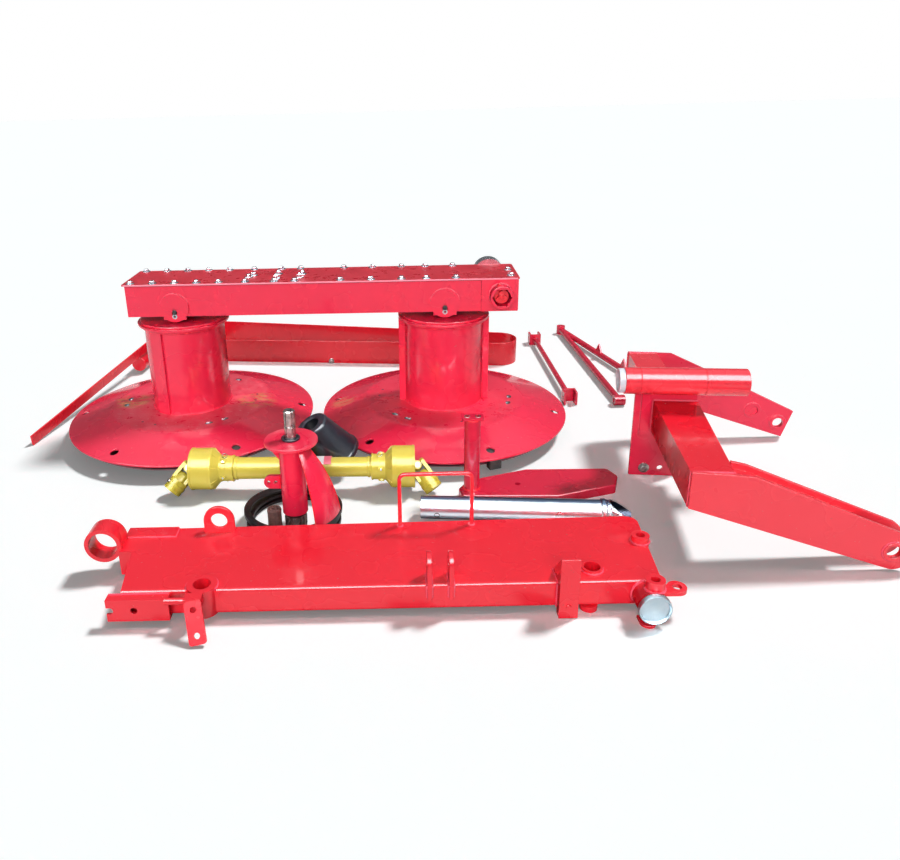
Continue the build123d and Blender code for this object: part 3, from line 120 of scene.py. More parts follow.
def loft(bm, rings, closed=False, capped=True):
    rows = [[bm.verts.new(p) for p in ring] for ring in rings]
    pairs = list(zip(rows, rows[1:])) + ([(rows[-1], rows[0])] if closed else [])
    for low, high in pairs:
        for i in range(len(low)):
            j = (i + 1) % len(low)
            bm.faces.new((low[i], low[j], high[j], high[i]))
    if capped and not closed:
        bm.faces.new(rows[0][::-1])
        bm.faces.new(rows[-1])


def flatRing(bm, at, inner, outer, thick, steps):
    lathe(bm, at, [(inner, 0), (outer, 0), (outer, thick), (inner, thick), (inner, 0)], steps)


def prism(bm, at, outline, thick):
    loft(bm, [line(at, *[(x, y, z) for x, y in outline]) for z in (0, thick)])


def sweep(bm, points, radii, normal, sides=8, closed=False):
    rings = []
    count = len(points)
    for i, (point, radius) in enumerate(zip(points, radii)):
        following = points[(i + 1) % count] if closed or i < count - 1 else point
        before = points[i - 1] if closed or i else point
        along = (following - before).normalized()
        across = along.cross(normal).normalized()
        rise = across.cross(along)
        angles = [2 * math.pi * k / sides for k in range(sides)]
        rings.append([point + radius * (math.cos(a) * across + math.sin(a) * rise)
                      for a in angles])
    loft(bm, rings, closed)


def resample(points, gap, closed=False):
    loop = points + points[:1] if closed else points
    result = []
    for start, end in zip(loop, loop[1:]):
        parts = max(1, round((end - start).length / gap))
        result += [start.lerp(end, k / parts) for k in range(parts)]
    return result if closed else result + [loop[-1]]


# shares of a weld bead's size, apart from the counts
ripple = {"gap": 0.62, "trough": 0.86, "crest": 0.2, "every": 3, "jitter": 0.07, "sides": 7}


# a weld bead: a rope of overlapping ripples
def weld(bm, points, normal, size=2.6, closed=False):
    path = resample(points, size * ripple["gap"], closed)
    radii = []
    for i in range(len(path)):
        crest = ripple["crest"] * (i % ripple["every"] == 0)
        uneven = random.uniform(-ripple["jitter"], ripple["jitter"])
        radii.append(size * (ripple["trough"] + crest + uneven))
    sweep(bm, path, radii, normal, ripple["sides"], closed)


def ringWeld(bm, at, radius, size=2.6, start=0.0, turn=360.0):
    weld(bm, circle(at, radius, start, turn), at.to_3x3() @ upright, size, turn >= 360)


def thread(bm, at, radius, length, pitch=1.75):
    profile = [(0, 0)]
    for k in range(int(length / pitch)):
        profile += [(radius, k * pitch), (radius * 0.86, (k + 0.5) * pitch)]
    lathe(bm, at, profile + [(radius * 0.8, length), (0, length)], 20)


def bolt(bm, at, across=13.0, headHeight=5.5, washer=2.0, stud=0.0):
    radius = across / math.sqrt(3)
    top = washer + headHeight
    chamfer = 0.9
    if washer:
        rim = across * 0.95
        lathe(bm, at, [(0, 0), (rim, 0), (rim, washer * 0.7), (rim * 0.94, washer),
                       (0, washer)], 28)
    hexagon = at @ turned(random.uniform(0, 60))
    lathe(bm, hexagon, [(0, washer), (radius, washer), (radius, top - chamfer),
                        (radius * 0.88, top), (0, top)], 6)
    if stud:
        thread(bm, on(at, 0, 0, top - 0.5), across * 0.3, stud)


# shader helpers
class Signal:
    # one output socket; + - * on it add Math nodes to its tree
    def __init__(self, graph, socket):
        self.graph = graph
        self.socket = socket

    def math(self, operation, *values):
        return self.graph.node("ShaderNodeMath", {"operation": operation}, values)

    def __add__(self, other):
        return self.math("ADD", self, other)

    def __sub__(self, other):
        return self.math("SUBTRACT", self, other)

    def __rsub__(self, other):
        return self.math("SUBTRACT", other, self)

    def __mul__(self, other):
        return self.math("MULTIPLY", self, other)

    __radd__ = __add__
    __rmul__ = __mul__


class Graph:
    def __init__(self, tree):
        self.tree = tree

    def put(self, value, socket):
        if isinstance(value, Signal):
            self.tree.links.new(value.socket, socket)
        elif isinstance(value, tuple) and socket.type == "RGBA":
            socket.default_value = (*value, 1)
        else:
            socket.default_value = value

    def node(self, kind, settings, inputs, output=0):
        new = self.tree.nodes.new(kind)
        for name, value in settings.items():
            setattr(new, name, value)
        pairs = inputs.items() if isinstance(inputs, dict) else enumerate(inputs)
        for key, value in pairs:
            self.put(value, new.inputs[key])
        return Signal(self, new.outputs[output])

    def ray(self, kind):
        return self.node("ShaderNodeLightPath", {}, {}, kind)

    def place(self, kind="Object"):
        return self.node("ShaderNodeTexCoord", {}, {}, kind)

    def along(self, axis, kind="Object"):
        return self.node("ShaderNodeSeparateXYZ", {}, [self.place(kind)], axis)

    def vectorMath(self, operation, values, output=0):
        return self.node("ShaderNodeVectorMath", {"operation": operation}, values, output)

    # 0 below low, 1 above high
    def step(self, signal, low, high):
        return self.node("ShaderNodeMapRange", {"interpolation_type": "SMOOTHSTEP"},
                         {"Value": signal, "From Min": low, "From Max": high})

    def band(self, signal, low, high, soft):
        entered = self.step(signal, low - soft, low + soft)
        return entered * (1 - self.step(signal, high - soft, high + soft))

    def mix(self, factor, first, second):
        inputs = {0: factor, 6: first, 7: second}
        return self.node("ShaderNodeMix", {"data_type": "RGBA"}, inputs, 2)

    def either(self, factor, first, second):
        return self.node("ShaderNodeMixShader", {}, [factor, first, second])


class Shader(Graph):
    # a material with one Principled BSDF
    def __init__(self, name, **values):
        self.material = bpy.data.materials.new(name)
        self.material.use_nodes = True
        super().__init__(self.material.node_tree)
        self.surface = self.tree.nodes["Principled BSDF"]
        for socket, value in values.items():
            self.set(socket.replace("_", " "), value)

    def set(self, socket, value):
        self.put(value, self.surface.inputs[socket])

    # distance from an upright axis, in metres
    def fromAxis(self, x, y):
        flat = self.vectorMath("MULTIPLY", [self.place(), (1, 1, 0)])
        return self.vectorMath("DISTANCE", [flat, (x, y, 0)], "Value")

    def noise(self, scale, detail=2.0, roughness=0.5, stretch=(1, 1, 1)):
        vector = self.place()
        if stretch != (1, 1, 1):
            vector = self.vectorMath("MULTIPLY", [vector, stretch])
        inputs = {"Vector": vector, "Scale": scale, "Detail": detail, "Roughness": roughness}
        return self.node("ShaderNodeTexNoise", {}, inputs)

    def bump(self, height, strength, distance=0.001):
        inputs = {"Height": height, "Strength": strength, "Distance": distance}
        self.set("Normal", self.node("ShaderNodeBump", {}, inputs))


# finishes
paint = {
    "red": (0.80, 0.012, 0.026), "light": (0.84, 0.018, 0.040), "deep": (0.68, 0.008, 0.018),
    # bead is a pale pink whose paleness is a painted highlight on the weld beads
    "crimson": (0.79, 0.015, 0.062), "rose": (0.84, 0.026, 0.084), "bead": (0.92, 0.16, 0.24),
    "chip": (0.30, 0.12, 0.09), "filler": (0.56, 0.26, 0.10), "dust": (0.72, 0.17, 0.20),
    # the last colour here is a pale pink painted as a highlight along the lid's front edge
    "scuff": (0.78, 0.42, 0.42), "pit": (0.22, 0.07, 0.05), "lipHighlight": (0.96, 0.30, 0.40),
}


# worn: strength of the dull handled look, inside a band of radii about an upright axis
# scrapes: spots (x, y, radius) where filler and bare patches show
# lip: a front face beyond this y, painted pale pink as a painted highlight along the edge
# gloss: weight of the clear coat
def redPaint(name, light=paint["light"], red=paint["red"], worn=0.0, axis=None,
             band=(0.12, 0.235), scrapes=(), lip=None, gloss=0.45):
    s = Shader(name, IOR=1.5, Coat_Roughness=0.06)
    colour = s.mix(s.noise(4.3, 2), red, light)
    colour = s.mix(s.noise(11, 2) * 0.3, colour, paint["deep"])
    specks = s.step(s.noise(150, 2), 0.72, 0.75)
    colour = s.mix(specks * 0.4, colour, paint["chip"])
    rough = s.noise(12, 2) * 0.1 + 0.22 + specks * 0.2
    coat = gloss - specks * 0.3
    if worn:
        where = s.step(s.noise(7, 3), 0.32, 0.55)
        if axis:
            where = where * s.band(s.fromAxis(*axis), band[0], band[1], 0.012)
        cloudy = where * s.step(s.noise(38, 5, 0.7), 0.35, 0.65)
        colour = s.mix(cloudy * worn * 0.55, colour, paint["dust"])
        scuffs = where * s.step(s.noise(75, 3, 0.6, (1, 2.4, 1)), 0.64, 0.70)
        colour = s.mix(scuffs * worn * 0.7, colour, paint["scuff"])
        rough = rough + cloudy * 0.28 * worn
        coat = coat - cloudy * 0.4 * worn
    for x, y, radius in scrapes:
        near = 1 - s.step(s.fromAxis(x, y), radius * 0.4, radius)
        rub = near * s.step(s.noise(24, 4, 0.65, (1, 2.6, 1)), 0.47, 0.56)
        colour = s.mix(rub * 0.75, colour, paint["filler"])
        pits = near * s.step(s.noise(70, 3, 0.6, (1, 2, 1)), 0.60, 0.66)
        colour = s.mix(pits * 0.8, colour, paint["pit"])
        rough = rough + rub * 0.25
    # painted highlight: the front face beyond lip is painted pale pink
    if lip:
        behind = s.step(s.along("Y"), lip - 0.0006, lip)
        colour = s.mix(1 - behind, colour, paint["lipHighlight"])
    s.set("Base Color", colour)
    s.set("Roughness", rough)
    s.set("Coat Weight", coat)
    s.bump(s.noise(14, 1), 0.12)
    return s.material


# more: further sockets of the shader, with _ for a space
def plainFinish(name, light, dark, rough, metal=0, grain=40.0, bump=0.1, **more):
    s = Shader(name, Metallic=metal, **more)
    s.set("Base Color", s.mix(s.step(s.noise(grain, 5, 0.65), 0.35, 0.7), light, dark))
    s.set("Roughness", s.noise(grain * 0.6, 4) * 0.18 + rough)
    s.bump(s.noise(grain * 7, 3), bump, 0.0006)
    return s.material


zincPipe = {
    "from": (305, -566), "to": (808, -600), "radius": 28, "wall": 3.5, "collar": 3,
    "collarWidth": 12, "wedge": 64, "hole": 6, "holeInset": 40, "crinkle": 2.2,
}
# top, foot, the film's folds and inside are painted light: a dark reflected band, shade at the
# foot, dark reflections in crinkles and shade in the bore
platingAndPaintedLight = {
    "bright": (0.86, 0.93, 0.98), "streak": (0.74, 0.83, 0.92), "top": (0.16, 0.22, 0.34),
    "foot": (0.30, 0.36, 0.44), "foldReflection": (0.14, 0.18, 0.28), "inside": (0.03, 0.035, 0.05),
}


# the zinc tube carries a painted dark reflection band along its top and painted shade towards its
# foot, crinkled film with painted dark reflections in its crinkles wraps its tip, and the inside
# of the open end is painted dark as shade; all places here are in metres
def zincTubeFinish():
    start, end = (spot(*zincPipe[way]).translation / 1000 for way in ("from", "to"))
    radius = zincPipe["radius"] / 1000
    height = radius + zincPipe["collar"] / 1000
    film = (zincPipe["to"][0] - zincPipe["wedge"] - 10 - kitMiddle[0]) / 1000
    s = Shader("zincTube", Metallic=1.0)
    lean = (end[1] - start[1]) / (end[0] - start[0])
    aside = s.along("Y") - (s.along("X") - start[0]) * lean - start[1]
    above = s.along("Z") - height
    # painted shade: the inside of the open end is painted near black
    bore = (radius - 0.0024) ** 2, (radius - 0.0014) ** 2
    inside = 1 - s.step(aside * aside + above * above, *bore)
    wrapped = s.step(s.along("X"), film - 0.008, film + 0.008)
    folds = s.noise(38, 2, 0.6, (1, 1.6, 1.6))
    streaks = s.step(s.noise(7, 3, 0.6, (0.3, 6, 6)), 0.35, 0.75)
    colour = s.mix(streaks, platingAndPaintedLight["bright"], platingAndPaintedLight["streak"])
    speckle = s.noise(60, 3, 0.7, (0.5, 1, 1)) * 0.0012
    # painted reflection: a dark blue band along the tube's top
    top = s.step(above + speckle, radius * 0.955, radius * 0.985)
    colour = s.mix(top, colour, platingAndPaintedLight["top"])
    # painted shade: darker towards the tube's foot
    foot = 1 - s.step(above, radius * -0.75, radius * -0.05)
    colour = s.mix(foot * (1 - wrapped), colour, platingAndPaintedLight["foot"])
    # painted dark reflections in the film's crinkles
    colour = s.mix(wrapped * s.step(folds, 0.56, 0.62), colour, platingAndPaintedLight["foldReflection"])
    s.set("Base Color", s.mix(inside, colour, platingAndPaintedLight["inside"]))
    s.set("Roughness", s.noise(12, 2) * 0.1 + 0.24)
    s.bump(folds * wrapped * 7, 0.3, 0.0012)
    return s.material


discAxes = {side: ((x - kitMiddle[0]) / 1000, -kitMiddle[1] / 1000)
            for side, x in drumSides.items()}
lidFace = (-89.6 - kitMiddle[1]) / 1000
crimson = {"light": paint["rose"], "red": paint["crimson"]}


# a round place on a disc, in metres from its axis
def beside(side, x, y, radius):
    return discAxes[side][0] + x, discAxes[side][1] + y, radius


leftScrapes = (beside("left", -0.19, -0.01, 0.075), beside("left", 0.2, -0.01, 0.075))
rightScrapes = (beside("right", -0.31, 0.02, 0.05),)
finishes = {
    "red_paint": redPaint("redPaint"),
    "crimson": redPaint("crimsonPaint", **crimson),
    # the weld beads' paler pink paint is a painted highlight
    "weldHighlightPaint": redPaint("weldHighlightPaint", paint["bead"], paint["rose"]),
    "lidPaint": redPaint(
        "lidPaint", (0.44, 0.006, 0.022), (0.54, 0.008, 0.026), worn=0.25, gloss=0.1, lip=lidFace),
    "hoopPaint": redPaint("hoopPaint", (0.78, 0.010, 0.028), (0.72, 0.008, 0.022)),
    # a darker red painted on the stays, foot plate and foot post as painted shade
    "shadedRedPaint": redPaint("shadedRedPaint", (0.66, 0.014, 0.058), (0.58, 0.011, 0.046)),
    "coral": redPaint("coralPaint", (0.86, 0.046, 0.070), (0.83, 0.036, 0.058)),
    "discLeft": redPaint(
        "discLeftPaint", **crimson, worn=1.0, axis=discAxes["left"], scrapes=leftScrapes),
    "discRight": redPaint(
        "discRightPaint", **crimson, worn=0.3, axis=discAxes["right"], scrapes=rightScrapes),
    "headPaint": redPaint(
        "headPaint", **crimson, worn=0.9, band=(0.045, 0.08),
        axis=tuple(head.translation.xy / 1000)),
    "dark_steel": plainFinish(
        "darkSteel", (0.03, 0.03, 0.033), (0.07, 0.06, 0.055), rough=0.42, metal=0.4),
    "skid": plainFinish(
        "skidRim", (0.42, 0.16, 0.20), (0.20, 0.10, 0.11), rough=0.32, metal=0.4, grain=9),
    "black_rubber": plainFinish(
        "blackRubber", (0.008, 0.010, 0.015), (0.014, 0.016, 0.024), rough=0.3, grain=12,
        bump=0.03, Specular_IOR_Level=0.3, Coat_Weight=0.6, Coat_Roughness=0.16),
    "beltRubber": plainFinish(
        "beltRubber", (0.004, 0.003, 0.004), (0.016, 0.008, 0.008), rough=0.34, grain=14, bump=0.3,
        Specular_IOR_Level=0.16, Coat_Weight=0.1, Coat_Roughness=0.12),
    "bright_steel": plainFinish(
        "machinedSteel", (0.66, 0.64, 0.62), (0.30, 0.27, 0.26), rough=0.2, metal=1, grain=80),
    "gearSteel": plainFinish(
        "oiledGear", (0.24, 0.17, 0.16), (0.08, 0.05, 0.05), rough=0.28, metal=0.8, grain=60),
    "zinc_plate": plainFinish(
        "zincPlate", (0.80, 0.84, 0.88), (0.60, 0.66, 0.72), rough=0.16, metal=1, grain=20,
        bump=0.04),
    "capZinc": plainFinish(
        "capZinc", (0.74, 0.86, 0.92), (0.60, 0.74, 0.82), rough=0.26, metal=1, grain=14,
        bump=0.05),
    "yellow_guard": plainFinish(
        "yellowGuard", (0.71, 0.585, 0.085), (0.64, 0.52, 0.066), rough=0.3, grain=9, bump=0.05,
        Coat_Weight=0.35, Coat_Roughness=0.14),
    "yellow_steel": plainFinish(
        "yellowSteel", (0.60, 0.50, 0.045), (0.48, 0.38, 0.035), rough=0.3, grain=30, bump=0.15,
        Coat_Weight=0.3, Coat_Roughness=0.15),
    "cross_steel": plainFinish(
        "crossSteel", (0.32, 0.30, 0.28), (0.18, 0.16, 0.15), rough=0.35, metal=1),
    "white_nylon": plainFinish(
        "whiteNylon", (0.74, 0.78, 0.84), (0.62, 0.67, 0.74), rough=0.3, grain=15, bump=0.05),
    "brown_bush": plainFinish(
        "brownBush", (0.20, 0.10, 0.085), (0.10, 0.055, 0.05), rough=0.42, grain=70, bump=0.35),
    "labelWhite": plainFinish(
        "labelWhite", (0.82, 0.80, 0.80), (0.74, 0.72, 0.73), rough=0.35, grain=15, bump=0.03),
    "labelPink": plainFinish(
        "labelPink", (0.80, 0.16, 0.22), (0.72, 0.12, 0.18), rough=0.35, grain=15, bump=0.03),
    "zincTube": zincTubeFinish(),
}
slotOf = {row["node"]: row["material_slot"] for row in frame["record"]["subparts"]}
# nodes whose finish isn't their slot's
ownFinish = {"disc_left": "discLeft", "disc_right": "discRight", "bearing_head": "headPaint",
             "beam_lid": "lidPaint", "zinc_tube": "zincTube"}
for finishName, nodeNames in {
    "crimson": ("gear_beam", "input_gearbox", "belt_guard", "headstock_plate", "back_link_plate"),
    "coral": ("link_plate_front", "link_plate_inner", "hitch_spar", "swivel_tube"),
    "hoopPaint": ("guard_hoop", "guard_wing", "guard_post"),
    # these take the darker red of painted shade
    "shadedRedPaint": ("stay_frame", "straight_stay", "foot_plate", "foot_post"),
    "skid": ("skid_left", "skid_right"),
}.items():
    ownFinish.update(dict.fromkeys(nodeNames, finishName))
softEdge = {"width": 0.0011, "angle": math.radians(32), "merge": 0.00001, "weight": 80,
            "sharp": math.radians(38)}


def bevelEdges(piece, width):
    bevel = piece.modifiers.new("edges", "BEVEL")
    bevel.width = width
    bevel.segments = 2
    bevel.limit_method = "ANGLE"
    return bevel


# CAD nodes keep their vertices; a weld and a small bevel give their edges the light
for name, node in nodes.items():
    node.data.materials.clear()
    node.data.materials.append(finishes[ownFinish.get(name, slotOf[name])])
    node.data.shade_smooth()
    joined = node.modifiers.new("weld", "WELD")
    joined.merge_threshold = softEdge["merge"]
    bevelEdges(node, softEdge["width"]).angle_limit = softEdge["angle"]
    normals = node.modifiers.new("normals", "WEIGHTED_NORMAL")
    normals.weight = softEdge["weight"]
print("CAD nodes dressed")


# draw(bm) builds a piece in millimetres; edge is its bevel's width, also in millimetres
def addPiece(name, body, slotName, draw, finish=None, replaced=(), edge=0.0):
    bm = bmesh.new()
    draw(bm)
    bmesh.ops.recalc_face_normals(bm, faces=bm.faces)
    bm.transform(Matrix.Scale(0.001, 4))
    mesh = bpy.data.meshes.new(name)
    bm.to_mesh(mesh)
    bm.free()
    mesh.materials.append(finishes[finish or slotName])
    mesh.shade_smooth()
    mesh.set_sharp_from_angle(angle=softEdge["sharp"])
    piece = bpy.data.objects.new(name, mesh)
    bpy.context.collection.objects.link(piece)
    if edge:
        bevelEdges(piece, edge / 1000)
    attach(piece, body)
    if replaced:
        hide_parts(*replaced)


def addKit(draw, slotName, finish=None, replaced=(), edge=0.0):
    addPiece(draw.__name__, "kit", slotName, draw, finish, replaced, edge)


# one side's piece, named as its function, which gets the values or else the side
def addSided(side, body, slotName, draw, values=None, finish=None, replaced=()):
    addPiece(f"{draw.__name__}_{side}", body, slotName,
             lambda bm: draw(bm, *(values or (side,))), finish, replaced)


# gear beam, lid and gearbox
lid = {
    "top": 481.5, "row": 77, "across": 13, "headHeight": 6.5,
    # start, count and pitch of the bolts in each row
    "runs": ((-512, 5, 64), (-180, 2, 83), (-38, 1, 0), (93, 3, 87), (338, 2, 83)),
    # x, y and height of the studs between the rows
    "studs": ((-179, -24, 9), (-168, -4, 7), (-95, -46, 14), (-96, 8, 12), (-28, -38, 14),
              (-24, 2, 12)),
    "studHead": 8, "endBolts": ((578, -62), (579, 8)),
    # a painted shadow line under the lid's overhang
    "lipShadow": {"depth": 83, "height": 475.6, "ends": (-527, 0, 490), "radius": 1.1},
}
pad = {"drop": 26, "radius": 42, "slot": -13, "height": 384, "arc": (12, 156)}
boss = {"x": 548, "height": 431, "radius": 33, "face": -87.5}
# the gearbox's coupling hub: a disc, three lobes on it and a sleeve
hub = {"inset": 13, "disc": 20.4, "rise": 3, "radius": 13.5, "lobe": 4.5, "turn": 1.2,
       "thick": 9}


def lidBolts(bm):
    for start, count, pitch in lid["runs"]:
        for i in range(count):
            for side in (-1, 1):
                place = on(cutter, start + i * pitch, side * lid["row"], lid["top"])
                bolt(bm, place, lid["across"], lid["headHeight"])
    for x, y in lid["endBolts"]:
        bolt(bm, on(cutter, x, y, lid["top"]), lid["across"] - 1, lid["headHeight"])


def lidStuds(bm):
    for x, y, height in lid["studs"]:
        proud = max(height - lid["studHead"], 0)
        bolt(bm, on(cutter, x, y, lid["top"]), lid["across"], lid["studHead"], 2.4, proud)


def beamWelds(bm):
    front = pad["height"] + pad["drop"]
    for x in drumSides.values():
        at = on(cutter, x, -82.8, front, "front")
        ringWeld(bm, at, pad["radius"], 2.2, *pad["arc"])
    at = on(cutter, boss["x"], boss["face"] - 0.5, boss["height"], "front")
    ringWeld(bm, at, boss["radius"], 3.4)
    weld(bm, line(cutter, (597, -84, 386), (597, -84, 474)), inward, 1.6)


def padBolts(bm):
    for x in drumSides.values():
        at = on(cutter, x, -86, pad["height"] + pad["drop"] + pad["slot"] - 2, "front")
        bolt(bm, at, 9, 4, 1.5, 5)


def padWashers(bm):
    for x in drumSides.values():
        at = on(cutter, x, -87.4, pad["height"] + 1, "front")
        flatRing(bm, at, 3.4, 7.4, 1.8, 28)


# a dark rubber strip under the lid's overhang is a painted shadow line, standing for the shade its
# lip casts
def lidLipShadow(bm):
    lipShadow = lid["lipShadow"]
    for y in (-lipShadow["depth"], lipShadow["depth"]):
        points = line(cutter, *[(x, y, lipShadow["height"]) for x in lipShadow["ends"]])
        sweep(bm, points, [lipShadow["radius"]] * len(points), upright, 6)


# a three-lobed hub sits inside the gearbox boss
def couplingHub(bm):
    at = on(cutter, boss["x"], boss["face"] - hub["inset"], boss["height"], "front")
    lathe(bm, at, [(0, 0), (hub["disc"], 0), (hub["disc"], hub["rise"]), (0, hub["rise"])])
    outline = []
    for i in range(72):
        angle = math.radians(i * 5)
        radius = hub["radius"] + hub["lobe"] * math.cos(3 * angle + hub["turn"])
        outline.append((radius * math.cos(angle), radius * math.sin(angle)))
    prism(bm, on(at, 0, 0, 2.5), outline, hub["thick"])
    lathe(bm, on(at, 0, 0, 11), [(7.5, 0), (7.5, 3), (5, 3), (5, -3), (0, -3)], 28)


def bossPlug(bm):
    at = on(cutter, boss["x"] - 8, boss["face"] - 22, boss["height"] + boss["radius"] - 2)
    bolt(bm, at, 9, 6, 1.2)


addKit(lidBolts, "zinc_plate")
addKit(lidStuds, "zinc_plate")
addKit(lidLipShadow, "black_rubber")
addKit(beamWelds, "red_paint", "weldHighlightPaint")
addKit(padBolts, "dark_steel")
addKit(padWashers, "zinc_plate")
addKit(couplingHub, "red_paint", edge=0.4)
addKit(bossPlug, "red_paint")
print("gear beam done")


# drums and discs
drum = {
    "radius": 117.5, "wall": 5, "top": 349, "base": 89, "bore": 30.5, "flange": 134,
    "ledge": 126, "ledgeHeight": 357, "crown": 362.5, "steps": 144,
    # a flat bar's half width, how far it stands out and where the first one is
    "bar": 22, "barRise": {"left": 5, "right": 16.5}, "bars": {"left": 61, "right": 0},
}
rivets = {"circle": 198, "spread": 14, "turn": {"left": 3.9, "right": -10.7}, "arms": 3}


# both drums, because the left one's bars are flatter than its node's and stand elsewhere
def drumShell(bm, side):
    at = on(cutter, drumSides[side])
    top, base, radius = drum["top"], drum["base"], drum["radius"]
    rim, crown, bore = drum["flange"], drum["crown"], drum["bore"]
    ledge, ledgeHeight, inside = drum["ledge"], drum["ledgeHeight"], radius - drum["wall"]
    lathe(bm, at, [
        (bore, top), (bore, crown), (ledge - 1, crown), (ledge, crown - 1),
        (ledge, ledgeHeight), (rim - 1, ledgeHeight), (rim, ledgeHeight - 1), (rim, top + 1),
        (rim - 1, top), (radius, top), (radius, base), (inside, base), (inside, top),
        (bore, top)], drum["steps"])
    outer, half, root = radius + drum["barRise"][side], drum["bar"], radius - 4
    outline = [(root, -half), (outer - 1, -half), (outer, 1 - half), (outer, half - 1),
               (outer - 1, half), (root, half)]
    for turn in (0, 180):
        bar = at @ turned(drum["bars"][side] + turn)
        prism(bm, on(bar, 0, 0, base), outline, top - base)


def drumWelds(bm, side):
    at = on(cutter, drumSides[side], 0, drum["base"] + 0.4)
    ringWeld(bm, at, drum["radius"] + 0.6, 2.8)
    flange = on(at, 0, 0, drum["top"] - drum["base"])
    lathe(bm, flange, [(117.6, -9), (124, -8.4), (125, -7), (125, -1), (118, -0.2),
                       (117.6, -9)], 96)
    ringWeld(bm, on(flange, 0, 0, 6.6), drum["flange"], 1.2)
    for turn in (0, 180):
        bar = at @ turned(drum["bars"][side] + turn)
        for edge in (-1, 1):
            y = edge * (drum["bar"] + 1)
            x = math.sqrt(drum["radius"] ** 2 - y ** 2)
            out = bar.to_3x3() @ Vector((1, 0, 0))
            weld(bm, line(bar, (x, y, 2), (x, y, 256)), out, 1.7)


# the two places at each spring arm's end; the bright rivets and the holes between them, painted
# dark as shade, change places from one disc to the other; stretch makes what stands there oblong
def rivetPlaces(side, bright, beyond, height, stretch=(1, 1)):
    at = on(cutter, drumSides[side], 0, drum["base"])
    first = rivets["turn"][side] + (60 if bright == (side == "left") else 0)
    for i in range(rivets["arms"]):
        for way in (-0.5, 0.5):
            angle = first + i * 360 / rivets["arms"] + way * rivets["spread"]
            place = on(at @ turned(angle), rivets["circle"] + beyond, 0, height)
            yield place @ Matrix.Diagonal((*stretch, 1, 1))


# each arm's end is riveted through the disc by a pair of oblong heads
def armRivets(bm, side):
    for place in rivetPlaces(side, True, 0, -0.6, (0.75, 1.5)):
        lathe(bm, place, [(0, 0), (6, 0), (5.6, 1.8), (3.2, 2.8), (0, 3.0)], 24)


# a dark disc at each hole: painted shade where the hole shows
def holeShadeDiscs(bm, side):
    for place in rivetPlaces(side, False, 0, -0.6):
        lathe(bm, place, [(0, 0), (3.4, 0), (3.2, 1.0), (0, 0.8)], 16)


# dark oblong sheets under each rivet head, set a little outward: painted shade of the slot round
# the head
def rivetSlotShade(bm, side):
    for place in rivetPlaces(side, True, 3, -0.4, (0.85, 1.4)):
        lathe(bm, place, [(0, 0), (8.6, 0), (8.2, 0.7), (0, 0.6)], 24)


for side in drumSides:
    body = f"drum_{side}"
    addSided(side, body, "red_paint", drumShell, None, "crimson", (body,))
    addSided(side, body, "red_paint", drumWelds, None, "crimson")
    addSided(side, body, "dark_steel", rivetSlotShade)
    addSided(side, body, "zinc_plate", armRivets)
    addSided(side, body, "dark_steel", holeShadeDiscs)
print("drums done")


# guard hoop
# bolts by length along the hoop's front strip and height; the post by length, height, radius
hoop = {"corner": spot(690, 500, 0, 174.7), "bolts": ((700, 8), (1240, 60)),
        "post": (1404, 38, 27)}


def hoopBolts(bm):
    for along, height in hoop["bolts"]:
        bolt(bm, on(hoop["corner"], along, 0.2, height, "back"), 11, 6, 1.6)


def hoopWelds(bm):
    corner = hoop["corner"]
    weld(bm, line(corner, (1230, -2, 2), (1230, -2, 86)), inward, 2.2)
    along, height, radius = hoop["post"]
    ringWeld(bm, on(corner, along, 1.5, height, "back"), radius + 0.5, 3)


addKit(hoopBolts, "bright_steel")
addKit(hoopWelds, "red_paint")
print("hoop done")


# drive head, belts and bush
gear = {
    "teeth": 14, "height": 30, "twist": 26, "slices": 10, "chamfer": 1.2,
    "reach": {"root": 21.5, "tip": 27},
    # one tooth's corners, in degrees
    "tooth": ((0, "root"), (5.5, "root"), (9.5, "tip"), (16, "tip"), (20, "root")),
}
coil = {
    "radius": 107, "width": 11.4, "depth": 16, "centre": (-4, -576), "steps": 120,
    # lift, squeeze, wave and turn of each loop
    "loops": ((0.5, 0.0, 0.0, 0), (13.2, 2.5, 1.6, 70), (26.0, 4.0, 5.0, 200)),
    # half of the V section: shares of its half depth and half width
    "flank": ((-1, 0.55), (-0.8, 0.72), (0.85, 1), (1, 0.9)),
}
bush = {"at": spot(-47, -600), "profile": (
    (0, 0), (16.2, 0), (17.5, 3), (16.8, 16), (16.8, 40), (17.5, 47), (16.4, 50.5), (12.6, 51.2),
    (11.8, 48.5), (9.6, 48.5), (9, 52), (6.2, 52), (6, 34), (0, 34))}
cone = {"lip": 78, "lean": 28, "nod": 12, "profile": (
    (73, 0.5), (77.6, 1), (77.8, 3), (77.4, 10), (74.5, 12), (73.5, 15), (61, 62),
    (52.5, 96), (49.2, 110), (48.4, 113), (47.6, 120), (44, 124.6), (27, 124.8),
    (24.2, 123.5), (24.2, 119.6), (38, 118), (67, 14), (73, 0.5))}
# the leaning cone rests on its lip
coneTilt = math.acos(math.cos(math.radians(cone["lean"])) * math.cos(math.radians(cone["nod"])))
coneFoot = spot(75, -306, cone["lip"] * math.sin(coneTilt))
coneAt = coneFoot @ turned(cone["nod"], "X") @ turned(-cone["lean"], "Y")
beltGuard = {"curve": ((35.5, 215), (80, 143), (109, 45)), "edges": (-57, -4), "bead": 1.6}


